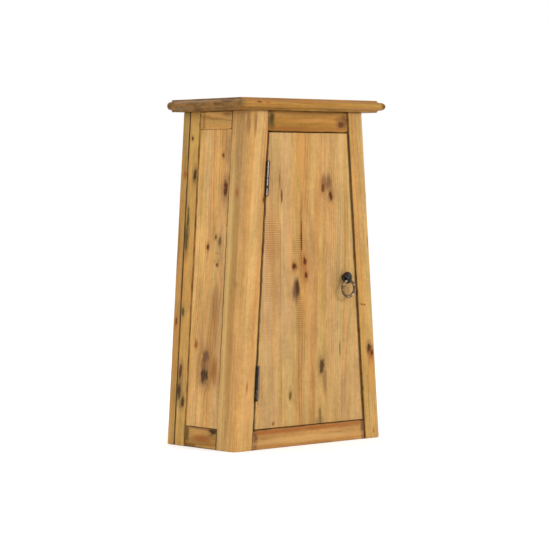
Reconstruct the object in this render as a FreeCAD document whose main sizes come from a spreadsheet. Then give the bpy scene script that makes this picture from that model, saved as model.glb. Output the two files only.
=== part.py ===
import FreeCAD, Part
import math
import os
import Sketcher

# A flared wall cabinet of pine. X runs to the right, Y towards the wall and Z up.
# The origin is the middle of the cabinet's bounding box, at its lowest level.

Vector = FreeCAD.Vector
Rotation = FreeCAD.Rotation

doc = FreeCAD.newDocument("hanging_wall_cabinet")
sheet = doc.addObject("Spreadsheet::Sheet", "Dimensions")
doc.recompute()


# ---------------------------------------------------------------- sizes

class Size:
    """A value in millimetres (or a plain ratio) and the sheet expression that gives it."""

    def __init__(self, value, text=None):
        self.value = float(value)
        self.text = text if text else "(%.6f)" % self.value

    def _with(self, other, sign, value):
        return Size(value, "(%s %s %s)" % (self.text, sign, other.text))

    def __add__(self, other):
        other = as_size(other)
        return self._with(other, "+", self.value + other.value)

    def __sub__(self, other):
        other = as_size(other)
        return self._with(other, "-", self.value - other.value)

    def __mul__(self, other):
        other = as_size(other)
        return self._with(other, "*", self.value * other.value)

    def __truediv__(self, other):
        other = as_size(other)
        return self._with(other, "/", self.value / other.value)

    def __radd__(self, other):
        return as_size(other) + self

    def __rsub__(self, other):
        return as_size(other) - self

    def __rmul__(self, other):
        return as_size(other) * self

    def __rtruediv__(self, other):
        return as_size(other) / self

    def __neg__(self):
        return as_size(-1) * self


def as_size(thing):
    return thing if isinstance(thing, Size) else Size(thing)


def square_root(size):
    return Size(math.sqrt(size.value), "sqrt(%s)" % size.text)


sheet_rows = []


def measure(alias, value):
    """Write one driving dimension into the sheet and return it."""
    row = len(sheet_rows) + 1
    sheet_rows.append(alias)
    sheet.set("A%d" % row, alias)
    sheet.set("B%d" % row, str(value))
    sheet.setAlias("B%d" % row, alias)
    return Size(value, "Dimensions." + alias)


# Overall
total_height = measure("total_height", 700)
base_width = measure("base_width", 407.2)
crown_width = measure("crown_width", 310)
body_depth = measure("body_depth", 208.6)

# Top board
slab_width = measure("slab_width", 398)
slab_depth = measure("slab_depth", 229)
slab_thickness = measure("slab_thickness", 24.6)
slab_shoulder = measure("slab_shoulder", 0.7)
nose_radius = measure("nose_radius", 8)

# Posts and back frame
post_face = measure("post_face", 48.4)
front_post_depth = measure("front_post_depth", 55)
rear_post_depth = measure("rear_post_depth", 31.3)
back_frame_thickness = measure("back_frame_thickness", 21.8)
back_stile_setback = measure("back_stile_setback", 3.4)
back_rail_height = measure("back_rail_height", 45)
back_board_thickness = measure("back_board_thickness", 8)
back_board_width = measure("back_board_width", 96)
post_round = measure("post_round", 15)

# Rails, panels and joints
rail_behind_door = measure("rail_behind_door", 3.5)
front_rail_recess = measure("front_rail_recess", 2.5)
front_top_rail_height = measure("front_top_rail_height", 41.6)
front_bottom_rail_height = measure("front_bottom_rail_height", 39.2)
side_rail_thickness = measure("side_rail_thickness", 20)
side_rail_recess = measure("side_rail_recess", 1.5)
side_top_rail_height = measure("side_top_rail_height", 37)
side_bottom_rail_height = measure("side_bottom_rail_height", 42)
side_panel_thickness = measure("side_panel_thickness", 14)
side_panel_recess = measure("side_panel_recess", 2)
tenon_length = measure("tenon_length", 21)
tenon_thickness = measure("tenon_thickness", 8)
tenon_shoulder = measure("tenon_shoulder", 9)
groove_depth = measure("groove_depth", 7)
panel_tongue = measure("panel_tongue", 6)
fit_clearance = measure("fit_clearance", 0.3)

# Inside
floor_thickness = measure("floor_thickness", 14)
shelf_thickness = measure("shelf_thickness", 16)
shelf_front_setback = measure("shelf_front_setback", 12)
lower_shelf_level = measure("lower_shelf_level", 250)
upper_shelf_level = measure("upper_shelf_level", 460)
batten_thickness = measure("batten_thickness", 12)
batten_height = measure("batten_height", 20)
cleat_size = measure("cleat_size", 20)
stop_width = measure("stop_width", 10)

# Door
door_thickness = measure("door_thickness", 20)
door_recess = measure("door_recess", 1)
door_gap = measure("door_gap", 2)
middle_board_width = measure("middle_board_width", 96)
ledge_height = measure("ledge_height", 46)
ledge_thickness = measure("ledge_thickness", 14)
ledge_end_gap = measure("ledge_end_gap", 18)
ledge_inset = measure("ledge_inset", 74)

# Hinges
hinge_length = measure("hinge_length", 68)
hinge_inset = measure("hinge_inset", 92)
barrel_radius = measure("barrel_radius", 3.5)
hinge_pin_radius = measure("hinge_pin_radius", 1.5)
hinge_running_gap = measure("hinge_running_gap", 0.06)
leaf_thickness = measure("leaf_thickness", 1.8)
leaf_half_gap = measure("leaf_half_gap", 0.2)
leaf_depth = measure("leaf_depth", 18.5)

# Ring pull
pull_edge_distance = measure("pull_edge_distance", 32.7)
ball_radius = measure("ball_radius", 10)
ball_rise = measure("ball_rise", 12.4)
pull_neck_radius = measure("pull_neck_radius", 4.5)
pull_foot_radius = measure("pull_foot_radius", 6)
ball_reach = measure("ball_reach", 11)
eye_forward = measure("eye_forward", 3.5)
eye_drop = measure("eye_drop", 5.4)
ring_radius = measure("ring_radius", 16.5)
ring_wire_radius = measure("ring_wire_radius", 3.2)
ring_play = measure("ring_play", 0.4)
pull_bolt_radius = measure("pull_bolt_radius", 3)

# Catch
catch_width = measure("catch_width", 44)
catch_depth = measure("catch_depth", 13)
catch_height = measure("catch_height", 44)
catch_offset = measure("catch_offset", 70)

# Wall fixing
wall_hole_radius = measure("wall_hole_radius", 3.5)
wall_hole_spacing = measure("wall_hole_spacing", 170)

# Derived sizes
body_height = total_height - slab_thickness
cove_radius = slab_thickness / 2 - nose_radius
slab_edge_reach = cove_radius + slab_shoulder + nose_radius
flare = (base_width - crown_width) / (2 * body_height)
lean_cos = 1 / square_root(1 + flare * flare)
lean_sin = flare * lean_cos
lean_angle = Size(math.degrees(math.atan(flare.value)), "atan(%s)" % flare.text)
quarter_turn = Size(90, "90 deg")

front_post_back = body_depth - front_post_depth
rear_post_front = back_frame_thickness + rear_post_depth
door_front = body_depth - door_recess
door_back = door_front - door_thickness
front_rail_front = body_depth - front_rail_recess
front_rail_back = door_back - rail_behind_door
front_tenon_back = (front_rail_back + front_rail_front - tenon_thickness) / 2
back_stile_width = post_face - back_stile_setback
door_bottom = front_bottom_rail_height + door_gap
door_top = body_height - front_top_rail_height - door_gap
side_rail_inner = side_rail_recess + side_rail_thickness
side_tenon_outer = side_rail_recess + (side_rail_thickness - tenon_thickness) / 2
panel_inner = side_panel_recess + side_panel_thickness
tongue_outer = side_panel_recess + (side_panel_thickness - panel_tongue) / 2
back_board_rear = (back_frame_thickness - back_board_thickness) / 2
floor_level = front_bottom_rail_height
hinge_reach = body_depth + barrel_radius
door_edge_inset = post_face + door_gap


def y_at(distance):
    """The Y coordinate at a distance in front of the wall."""
    return slab_depth / 2 - distance


def half_width(z, inset=0):
    """Half the cabinet's width at a height, less an inset measured level."""
    return base_width / 2 - flare * z - inset


# ---------------------------------------------------------------- modelling tools

bodies = {}
cuts = []


def bind(obj, path, size):
    obj.setExpression(path, as_size(size).text)


def place(obj, point, turn=None):
    """Put an object at a point (three sizes), turned by (axis, angle size)."""
    point = [as_size(value) for value in point]
    axis, angle = turn if turn else (Vector(0, 0, 1), as_size(0))
    angle = as_size(angle)
    base = Vector(*[value.value for value in point])
    obj.Placement = FreeCAD.Placement(base, Rotation(axis, angle.value))
    for letter, value in zip("xyz", point):
        bind(obj, "Placement.Base." + letter, value)
    if turn and not angle.text.startswith("(90.0") and "." in angle.text.replace("90 deg", ""):
        bind(obj, "Placement.Rotation.Angle", angle)


def new_body(label):
    body = doc.addObject("PartDesign::Body", label)
    body.Label = label
    bodies[label] = body
    return body


def origin_plane(body, name):
    for feature in body.Origin.OriginFeatures:
        if feature.Role == name:
            return feature
    raise ValueError(name)


def sketch_outline(body, plane, offset, points):
    """A closed outline. A third item on a point, (centre x, centre y, turn), makes the next
    side an arc about that centre, anticlockwise where turn is 1 and clockwise where it is -1."""
    sketch = body.newObject("Sketcher::SketchObject", "Outline")
    sketch.AttachmentSupport = [(origin_plane(body, plane), "")]
    sketch.MapMode = "FlatFace"
    bind(sketch, "AttachmentOffset.Base.z", offset)
    sketch.AttachmentOffset.Base.z = as_size(offset).value
    corners = []
    for point in points:
        x, y = as_size(point[0]), as_size(point[1])
        corners.append((x, y, Vector(x.value, y.value, 0)))
    count = len(corners)
    ends = []
    for index in range(count):
        start = corners[index][2]
        finish = corners[(index + 1) % count][2]
        if len(points[index]) == 2:
            sketch.addGeometry(Part.LineSegment(start, finish), False)
            ends.append((1, 2))
            continue
        centre_x, centre_y, turn = points[index][2]
        centre = Vector(centre_x.value, centre_y.value, 0)
        first = math.atan2(start.y - centre.y, start.x - centre.x)
        last = math.atan2(finish.y - centre.y, finish.x - centre.x)
        if turn < 0:
            first, last = last, first
        sweep = (last - first) % (2 * math.pi)
        circle = Part.Circle(centre, Vector(0, 0, 1), (start - centre).Length)
        sketch.addGeometry(Part.ArcOfCircle(circle, first, first + sweep), False)
        ends.append((1, 2) if turn > 0 else (2, 1))
    for index in range(count):
        after = (index + 1) % count
        joint = Sketcher.Constraint("Coincident", index, ends[index][1], after, ends[after][0])
        sketch.addConstraint(joint)
    for index, (x, y, _) in enumerate(corners):
        pin_point(sketch, index, ends[index][0], "X", x, "across_%d" % index)
        pin_point(sketch, index, ends[index][0], "Y", y, "along_%d" % index)
        if len(points[index]) > 2:
            pin_point(sketch, index, 3, "X", points[index][2][0], "centre_%d" % index)
    return sketch


def pin_point(sketch, geometry, position, letter, size, name):
    """Hold one coordinate of a sketch point at a size."""
    kind = "Distance" + letter
    number = sketch.addConstraint(
        Sketcher.Constraint(kind, -1, 1, geometry, position, size.value))
    sketch.renameConstraint(number, name)
    bind(sketch, "Constraints." + name, size)


def pad(body, sketch, length):
    feature = body.newObject("PartDesign::Pad", "Pad")
    feature.Profile = sketch
    feature.Length = as_size(length).value
    bind(feature, "Length", length)
    return feature


def pocket(body, sketch, length):
    feature = body.newObject("PartDesign::Pocket", "Pocket")
    feature.Profile = sketch
    feature.Length = as_size(length).value
    bind(feature, "Length", length)
    cuts.append(feature)
    return feature


def front_solid(body, points, near, far):
    """Add an outline drawn from the front, from near to far in front of the wall."""
    return pad(body, sketch_outline(body, "XZ_Plane", near - slab_depth / 2, points), far - near)


def front_cut(body, points, near, far):
    """Cut an outline drawn from the front, from near to far in front of the wall."""
    return pocket(body, sketch_outline(body, "XZ_Plane", far - slab_depth / 2, points), far - near)


def primitive(body, kind, point, turn=None, **sizes):
    """Add or subtract a box, cylinder, cone, sphere or torus in a body."""
    feature = body.newObject("PartDesign::" + kind, kind)
    for name, value in sizes.items():
        setattr(feature, name, as_size(value).value)
        bind(feature, name, value)
    place(feature, point, turn)
    if kind.startswith("Subtractive"):
        cuts.append(feature)
    return feature


def band(side, outer, inner, low, high):
    """A strip that leans with one side of the cabinet, between two insets and two heights."""
    low, high = as_size(low), as_size(high)
    return [(side * half_width(low, outer), low), (side * half_width(high, outer), high),
            (side * half_width(high, inner), high), (side * half_width(low, inner), low)]


def span(inset, low, high):
    """A strip right across, its ends leaning with both sides at one inset."""
    low, high = as_size(low), as_size(high)
    return [(-half_width(low, inset), low), (half_width(low, inset), low),
            (half_width(high, inset), high), (-half_width(high, inset), high)]


def solid_band(label, side, outer, inner, low, high, near, far):
    body = new_body(label)
    front_solid(body, band(side, outer, inner, low, high), near, far)
    return body


def solid_span(label, inset, low, high, near, far):
    body = new_body(label)
    front_solid(body, span(inset, low, high), near, far)
    return body


# Turns that point a piece's own Z axis
TOWARDS_FRONT = (Vector(1, 0, 0), quarter_turn)
DOWNWARDS = (Vector(1, 0, 0), 2 * quarter_turn)
UPWARDS = None


def outwards(side):
    """Square to a leaning side, pointing out of the cabinet."""
    return (Vector(0, side, 0), quarter_turn - lean_angle)


def copies(label, master, places):
    """One node that holds a copy of a master piece at each place (point, turn)."""
    links = []
    for point, turn in places:
        link = doc.addObject("App::Link", label + "_copy")
        link.LinkedObject = master
        place(link, point, turn)
        links.append(link)
    group = doc.addObject("Part::Compound", label)
    group.Label = label
    group.Links = links
    bodies[label] = group
    return group


class Screw:
    """A countersunk slotted wood screw, its head at the origin and its point along +Z."""

    def __init__(self, name, length, radius):
        self.length = as_size(length)
        self.radius = radius
        self.head_radius = radius * 2
        self.head_height = radius
        self.point_height = radius * 2
        body = doc.addObject("PartDesign::Body", name)
        primitive(body, "AdditiveCone", (0, 0, 0), None,
                  Radius1=self.head_radius, Radius2=radius, Height=self.head_height)
        primitive(body, "AdditiveCylinder", (0, 0, self.head_height), None,
                  Radius=radius, Height=self.length - self.head_height - self.point_height)
        primitive(body, "AdditiveCone", (0, 0, self.length - self.point_height), None,
                  Radius1=radius, Radius2=radius * 0.15, Height=self.point_height)
        slot_width = radius * 0.5
        primitive(body, "SubtractiveBox", (-self.head_radius, -slot_width / 2, -1), None,
                  Length=2 * self.head_radius, Width=slot_width, Height=1 + radius * 0.4)
        self.master = body

    def hole(self, body, point, turn, head):
        """The matching hole in one piece; head says whether the head sits in it."""
        primitive(body, "SubtractiveCylinder", point, turn,
                  Radius=self.radius, Height=self.length)
        if head:
            primitive(body, "SubtractiveCone", point, turn,
                      Radius1=self.head_radius, Radius2=self.radius, Height=self.head_height)


def fasten(label, screw, places, head=True):
    """Copies of a screw, with holes in their pieces; a head sits in the first piece named."""
    for point, turn, pieces in places:
        for number, piece in enumerate(pieces):
            screw.hole(bodies[piece], point, turn, head and number == 0)
    copies(label, screw.master, [(point, turn) for point, turn, _ in places])


# ---------------------------------------------------------------- top board

def slab_edge(half, outward):
    """One moulded edge from the lower arris up: a cove, a half-round nose, a cove."""
    middle = body_height + slab_thickness / 2
    nose_start = outward * (half - nose_radius)
    cove_end = outward * (half - slab_edge_reach + cove_radius)
    arris = outward * (half - slab_edge_reach)
    return [(arris, body_height, (cove_end, body_height, -outward)),
            (cove_end, middle - nose_radius),
            (nose_start, middle - nose_radius, (nose_start, middle, outward)),
            (nose_start, middle + nose_radius),
            (cove_end, middle + nose_radius, (cove_end, total_height, -outward)),
            (arris, total_height)]


def reversed_edge(points):
    """The same edge drawn from the top down."""
    turned = []
    for index in range(len(points) - 1, -1, -1):
        corner = points[index][:2]
        if index and len(points[index - 1]) > 2:
            centre_x, centre_y, turn = points[index - 1][2]
            corner += ((centre_x, centre_y, -turn),)
        turned.append(corner)
    return turned


slab_profile = slab_edge(slab_width / 2, 1) + reversed_edge(slab_edge(slab_width / 2, -1))
front_edge = slab_edge(slab_depth / 2, -1)
outside = y_at(slab_depth + 5)
slab_waste = [(outside, body_height - 5), (front_edge[0][0], body_height - 5)]
slab_waste += front_edge
slab_waste += [(front_edge[-1][0], total_height + 5), (outside, total_height + 5)]

top_board = new_body("top_board")
front_solid(top_board, slab_profile, as_size(0), slab_depth)
waste = sketch_outline(top_board, "YZ_Plane", slab_width / 2 + 1, slab_waste)
pocket(top_board, waste, slab_width + 2)


# ---------------------------------------------------------------- posts, rails and panels

side_names = ((-1, "left"), (1, "right"))
top_rail_low = body_height - side_top_rail_height
top_tenon = (top_rail_low + tenon_shoulder, body_height - tenon_shoulder)
bottom_tenon = (as_size(0) + tenon_shoulder, side_bottom_rail_height - tenon_shoulder)
panel_low = side_bottom_rail_height
panel_high = top_rail_low
groove_low = panel_low - groove_depth
groove_high = panel_high + groove_depth
front_top_low = body_height - front_top_rail_height
front_tenons = ((front_top_low + tenon_shoulder, body_height - tenon_shoulder),
                (as_size(0) + tenon_shoulder, front_bottom_rail_height - tenon_shoulder))
side_tenon_inner = side_tenon_outer + tenon_thickness
tongue_inner = tongue_outer + panel_tongue

for side, word in side_names:
    post = solid_band("front_post_" + word, side, 0, post_face, 0, body_height,
                      front_post_back, body_depth)
    for low, high in front_tenons:
        front_cut(post, band(side, post_face - tenon_length, post_face, low, high),
                  front_tenon_back, front_tenon_back + tenon_thickness)
    for low, high in (top_tenon, bottom_tenon):
        front_cut(post, band(side, side_tenon_outer, side_tenon_inner, low, high),
                  front_post_back, front_post_back + tenon_length)
    front_cut(post, band(side, tongue_outer, tongue_inner, groove_low, groove_high),
              front_post_back, front_post_back + groove_depth)

    post = solid_band("rear_post_" + word, side, 0, post_face, 0, body_height,
                      back_frame_thickness, rear_post_front)
    for low, high in (top_tenon, bottom_tenon):
        front_cut(post, band(side, side_tenon_outer, side_tenon_inner, low, high),
                  rear_post_front - tenon_length, rear_post_front)
    front_cut(post, band(side, tongue_outer, tongue_inner, groove_low, groove_high),
              rear_post_front - groove_depth, rear_post_front)

    rail_levels = (("top", top_rail_low, body_height, top_tenon, top_rail_low, groove_high),
                   ("bottom", as_size(0), side_bottom_rail_height, bottom_tenon,
                    groove_low, side_bottom_rail_height))
    for level, low, high, tenon, groove_from, groove_to in rail_levels:
        rail = solid_band("side_%s_rail_%s" % (level, word), side, side_rail_recess,
                          side_rail_inner, low, high, rear_post_front, front_post_back)
        front_solid(rail, band(side, side_tenon_outer, side_tenon_inner, *tenon),
                    rear_post_front - tenon_length + fit_clearance,
                    front_post_back + tenon_length - fit_clearance)
        front_cut(rail, band(side, tongue_outer, tongue_inner, groove_from, groove_to),
                  rear_post_front, front_post_back)

    panel = solid_band("side_panel_" + word, side, side_panel_recess, panel_inner,
                       panel_low + fit_clearance, panel_high - fit_clearance,
                       rear_post_front + fit_clearance, front_post_back - fit_clearance)
    front_solid(panel, band(side, tongue_outer, tongue_inner, groove_low + fit_clearance,
                            groove_high - fit_clearance),
                rear_post_front - groove_depth + fit_clearance,
                front_post_back + groove_depth - fit_clearance)

for level, low, high, tenon in (("top", front_top_low, body_height, front_tenons[0]),
                                ("bottom", as_size(0), front_bottom_rail_height,
                                 front_tenons[1])):
    rail = solid_span("front_%s_rail" % level, post_face, low, high,
                      front_rail_back, front_rail_front)
    front_solid(rail, span(post_face - tenon_length + fit_clearance, *tenon),
                front_tenon_back, front_tenon_back + tenon_thickness)


# ---------------------------------------------------------------- back frame

back_top_low = body_height - back_rail_height
back_groove_low = back_rail_height - groove_depth
back_groove_high = back_top_low + groove_depth
back_board_front = back_board_rear + back_board_thickness
back_tenons = ((back_top_low + tenon_shoulder, body_height - tenon_shoulder),
               (as_size(0) + tenon_shoulder, back_rail_height - tenon_shoulder))

for side, word in side_names:
    stile = solid_band("back_stile_" + word, side, 0, back_stile_width, 0, body_height,
                       as_size(0), back_frame_thickness)
    for low, high in back_tenons:
        front_cut(stile, band(side, back_stile_width - tenon_length, back_stile_width, low, high),
                  back_board_rear, back_board_front)
    front_cut(stile, band(side, back_stile_width - groove_depth, back_stile_width,
                          back_groove_low, back_groove_high),
              back_board_rear, back_board_front)

for level, low, high, tenon, groove in (
        ("top", back_top_low, body_height, back_tenons[0], (back_top_low, back_groove_high)),
        ("bottom", as_size(0), back_rail_height, back_tenons[1],
         (back_groove_low, back_rail_height))):
    rail = solid_span("back_%s_rail" % level, back_stile_width, low, high,
                      as_size(0), back_frame_thickness)
    front_solid(rail, span(back_stile_width - tenon_length + fit_clearance, *tenon),
                back_board_rear, back_board_front)
    front_cut(rail, span(back_stile_width, *groove), back_board_rear, back_board_front)

for side in (-1, 1):
    primitive(bodies["back_top_rail"], "SubtractiveCylinder",
              (side * wall_hole_spacing / 2, y_at(-1), body_height - back_rail_height / 2),
              TOWARDS_FRONT, Radius=wall_hole_radius, Height=back_frame_thickness + 2)

board_low = back_groove_low + fit_clearance
board_high = back_groove_high - fit_clearance
board_edge = back_board_width / 2
tongue_reach = groove_depth / 2
tongue_near = back_board_rear + back_board_thickness / 3
tongue_far = back_board_rear + 2 * back_board_thickness / 3
outer_inset = back_stile_width - groove_depth + fit_clearance

middle = new_body("back_board_middle")
front_solid(middle, [(-board_edge, board_low), (board_edge, board_low),
                     (board_edge, board_high), (-board_edge, board_high)],
            back_board_rear, back_board_front)
tongue_half = board_edge + tongue_reach - fit_clearance
front_solid(middle, [(-tongue_half, board_low), (tongue_half, board_low),
                     (tongue_half, board_high), (-tongue_half, board_high)],
            tongue_near, tongue_far)
for side, word in side_names:
    board = new_body("back_board_" + word)
    front_solid(board, [(side * board_edge, board_low), (side * board_edge, board_high),
                        (side * half_width(board_high, outer_inset), board_high),
                        (side * half_width(board_low, outer_inset), board_low)],
                back_board_rear, back_board_front)
    groove_end = board_edge + tongue_reach
    front_cut(board, [(side * board_edge, board_low), (side * board_edge, board_high),
                      (side * groove_end, board_high), (side * groove_end, board_low)],
              tongue_near, tongue_far)


# ---------------------------------------------------------------- floor, shelves and cleats

def notched_board(label, top, thickness, front, back, post_clearance, ear_inset, ear_gap):
    """A level board notched round the four posts; its ears reach the side panels."""
    narrow = half_width(top, post_face + post_clearance)
    wide = half_width(top, ear_inset)
    ear_back = rear_post_front + ear_gap
    ear_front = front_post_back - ear_gap
    right = [(narrow, back), (narrow, ear_back), (wide, ear_back), (wide, ear_front),
             (narrow, ear_front), (narrow, front)]
    outline = [(x, y_at(distance)) for x, distance in right]
    outline += [(-x, y_at(distance)) for x, distance in reversed(right)]
    body = new_body(label)
    pad(body, sketch_outline(body, "XY_Plane", top - thickness, outline), thickness)
    return body


notched_board("bottom_board", floor_level, floor_thickness, front_rail_back,
              back_frame_thickness, as_size(0), side_rail_inner, fit_clearance)

shelf_front = door_back - shelf_front_setback
for word, level in (("lower", lower_shelf_level), ("upper", upper_shelf_level)):
    notched_board("shelf_" + word, level, shelf_thickness, shelf_front,
                  back_frame_thickness + fit_clearance, fit_clearance,
                  panel_inner + fit_clearance, fit_clearance)
    batten_top = level - shelf_thickness
    for side, hand in side_names:
        solid_band("shelf_batten_%s_%s" % (word, hand), side, post_face,
                   post_face + batten_thickness, batten_top - batten_height, batten_top,
                   back_frame_thickness, shelf_front - fit_clearance)

cleat_inner = side_rail_inner + cleat_size
floor_cleat_top = floor_level - floor_thickness
for side, word in side_names:
    solid_band("top_cleat_" + word, side, side_rail_inner, cleat_inner,
               body_height - cleat_size, body_height, rear_post_front, front_post_back)
    solid_band("bottom_cleat_" + word, side, side_rail_inner, cleat_inner,
               floor_cleat_top - cleat_size, floor_cleat_top, rear_post_front, front_post_back)

solid_band("door_stop", 1, post_face, post_face + stop_width, door_bottom, door_top,
           door_back - fit_clearance - stop_width, door_back - fit_clearance)


# ---------------------------------------------------------------- door

joint = middle_board_width / 2
for side, word in side_names:
    board = new_body("door_board_" + word)
    front_solid(board, [(side * joint, door_bottom), (side * joint, door_top),
                        (side * half_width(door_top, door_edge_inset), door_top),
                        (side * half_width(door_bottom, door_edge_inset), door_bottom)],
                door_back, door_front)
board = new_body("door_board_middle")
front_solid(board, [(-joint, door_bottom), (joint, door_bottom),
                    (joint, door_top), (-joint, door_top)], door_back, door_front)

ledge_back = door_back - ledge_thickness
ledge_levels = (("lower", door_bottom + ledge_inset), ("upper", door_top - ledge_inset))
for word, level in ledge_levels:
    solid_span("door_ledge_" + word, door_edge_inset + ledge_end_gap,
               level - ledge_height / 2, level + ledge_height / 2, ledge_back, door_back)


# ---------------------------------------------------------------- hinges

hinge_turn = (Vector(0, 1, 0), lean_angle)
knuckle_gap = 0.3
knuckle = (hinge_length - 4 * knuckle_gap) / 5
plate_start = barrel_radius + 0.3
plate_end = barrel_radius + leaf_depth
leaf_outer = leaf_half_gap + leaf_thickness


def knuckle_low(number):
    return number * (knuckle + knuckle_gap) - hinge_length / 2


def hinge_leaf(name, side, knuckle_numbers, bore_radius):
    """One leaf about the hinge line, which is its Z axis; side -1 is the frame's leaf."""
    body = doc.addObject("PartDesign::Body", name)
    inner = leaf_half_gap if side > 0 else -leaf_outer
    primitive(body, "AdditiveBox", (inner, plate_start, -hinge_length / 2), None,
              Length=leaf_thickness, Width=plate_end - plate_start, Height=hinge_length)
    for number in knuckle_numbers:
        low = knuckle_low(number)
        primitive(body, "AdditiveBox", (inner, 0, low), None,
                  Length=leaf_thickness, Width=plate_start, Height=knuckle)
        primitive(body, "AdditiveCylinder", (0, 0, low), None,
                  Radius=barrel_radius, Height=knuckle)
    primitive(body, "SubtractiveCylinder", (0, 0, -hinge_length), None,
              Radius=bore_radius, Height=2 * hinge_length)
    return body


leaf_screw = Screw("leaf_screw_master", 15, 1.5)
hinge_levels = (door_top - hinge_inset, door_bottom + hinge_inset)
leaf_screw_rows = (-0.36, 0, 0.36)
leaf_screw_y = barrel_radius + leaf_depth * 0.55


def hinge_point(z):
    """The point of the hinge line at a height."""
    return (-half_width(z, post_face + door_gap / 2), y_at(hinge_reach), z)


def from_hinge(z, across, deep, along):
    """A point given in a hinge's own leaning frame, in the cabinet's frame."""
    x0, y0, z0 = hinge_point(z)
    return (x0 + across * lean_cos + along * lean_sin, y0 + deep,
            z0 - across * lean_sin + along * lean_cos)


into_post = (Vector(0, -1, 0), quarter_turn - lean_angle)
into_door = (Vector(0, 1, 0), quarter_turn + lean_angle)
frame_leaf = hinge_leaf("frame_leaf_master", -1, (0, 2, 4), hinge_pin_radius)
door_leaf = hinge_leaf("door_leaf_master", 1, (1, 3), hinge_pin_radius + hinge_running_gap)
bodies["frame_leaf_master"] = frame_leaf
bodies["door_leaf_master"] = door_leaf

# Countersinks in the leaves, drilled in their own frame
for row in leaf_screw_rows:
    along = row * hinge_length
    leaf_screw.hole(frame_leaf, (-leaf_half_gap, leaf_screw_y, along),
                    (Vector(0, -1, 0), quarter_turn), True)
    leaf_screw.hole(door_leaf, (leaf_half_gap, leaf_screw_y, along),
                    (Vector(0, 1, 0), quarter_turn), True)

pin = doc.addObject("PartDesign::Body", "hinge_pin_master")
primitive(pin, "AdditiveCylinder", (0, 0, -hinge_length / 2), None,
          Radius=hinge_pin_radius, Height=hinge_length)
for start in (-hinge_length / 2 - 1.4, hinge_length / 2):
    primitive(pin, "AdditiveCylinder", (0, 0, start), None, Radius=barrel_radius * 0.8, Height=1.4)

hinge_places = [(hinge_point(z), hinge_turn) for z in hinge_levels]
copies("hinge_frame_leaves", frame_leaf, hinge_places)
copies("hinge_door_leaves", door_leaf, hinge_places)
copies("hinge_pins", pin, hinge_places)

# The leaves are let into the post and into the door's edge
for z in hinge_levels:
    primitive(bodies["front_post_left"], "SubtractiveBox",
              from_hinge(z, -leaf_outer, as_size(0), -hinge_length / 2), hinge_turn,
              Length=leaf_outer, Width=plate_end, Height=hinge_length)
    primitive(bodies["door_board_left"], "SubtractiveBox",
              from_hinge(z, as_size(0), as_size(0), -hinge_length / 2), hinge_turn,
              Length=leaf_outer, Width=plate_end, Height=hinge_length)

frame_screws = []
door_screws = []
for z in hinge_levels:
    for row in leaf_screw_rows:
        along = row * hinge_length
        frame_screws.append((from_hinge(z, -leaf_half_gap, leaf_screw_y, along),
                             into_post, ["front_post_left"]))
        door_screws.append((from_hinge(z, leaf_half_gap, leaf_screw_y, along),
                            into_door, ["door_board_left"]))
fasten("hinge_frame_screws", leaf_screw, frame_screws, head=False)
fasten("hinge_door_screws", leaf_screw, door_screws, head=False)


# ---------------------------------------------------------------- ring pull

pull_level = (door_top + door_bottom) / 2
pull_x = half_width(pull_level, door_edge_inset + pull_edge_distance)
pull_centre = (pull_x, y_at(door_front + ball_reach), pull_level)
washer_thickness = 1.5
nut_thickness = 5

boss = new_body("pull_boss")
# The ball is turned so that its seam keeps clear of the eye
primitive(boss, "AdditiveEllipsoid", (0, 0, 0), (Vector(0, 0, 1), 0.4 * quarter_turn),
          Radius1=ball_rise, Radius2=ball_radius, Radius3=ball_radius)
primitive(boss, "AdditiveCylinder", (0, ball_reach, 0), TOWARDS_FRONT,
          Radius=pull_neck_radius, Height=ball_reach)
primitive(boss, "AdditiveCylinder", (0, ball_reach, 0), TOWARDS_FRONT,
          Radius=pull_foot_radius, Height=1.8)
bolt_length = door_thickness + washer_thickness + nut_thickness + 1.5
primitive(boss, "AdditiveCylinder", (0, ball_reach + bolt_length, 0), TOWARDS_FRONT,
          Radius=pull_bolt_radius, Height=bolt_length + 1)


def eye_half_width(x):
    """Room that the ring's wire needs about the eye's line, at a distance along it."""
    inner = ring_radius - ring_wire_radius
    return ring_radius - square_root(inner * inner - x * x) + ring_play


eye_sketch = boss.newObject("Sketcher::SketchObject", "EyeOutline")
eye_sketch.AttachmentSupport = [(origin_plane(boss, "XZ_Plane"), "")]
eye_sketch.MapMode = "FlatFace"
eye_sketch.AttachmentOffset = FreeCAD.Placement(
    Vector(0, -eye_drop.value, eye_forward.value), Rotation())
bind(eye_sketch, "AttachmentOffset.Base.y", -eye_drop)
bind(eye_sketch, "AttachmentOffset.Base.z", eye_forward)
eye_steps = [as_size(ratio) * ball_radius for ratio in (-1.1, -0.8, -0.4, 0, 0.4, 0.8, 1.1)]
eye_points = [(-1.1 * ball_radius, as_size(0))]
eye_points += [(x, eye_half_width(x)) for x in eye_steps]
eye_points += [(1.1 * ball_radius, as_size(0))]
corners = [Vector(x.value, y.value, 0) for x, y in eye_points]
for index in range(len(corners)):
    eye_sketch.addGeometry(
        Part.LineSegment(corners[index], corners[(index + 1) % len(corners)]), False)
for index in range(len(corners)):
    eye_sketch.addConstraint(
        Sketcher.Constraint("Coincident", index, 2, (index + 1) % len(corners), 1))
for index, (x, y) in enumerate(eye_points):
    pin_point(eye_sketch, index, 1, "X", x, "across_%d" % index)
    pin_point(eye_sketch, index, 1, "Y", y, "along_%d" % index)
eye = boss.newObject("PartDesign::Groove", "Eye")
eye.Profile = eye_sketch
eye.ReferenceAxis = (eye_sketch, ["H_Axis"])
eye.Angle = 360
cuts.append(eye)
place(boss, pull_centre)

primitive(bodies["door_board_right"], "SubtractiveCylinder",
          (pull_x, y_at(door_back - 1), pull_level), TOWARDS_FRONT,
          Radius=pull_bolt_radius, Height=door_thickness + 2)

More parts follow.
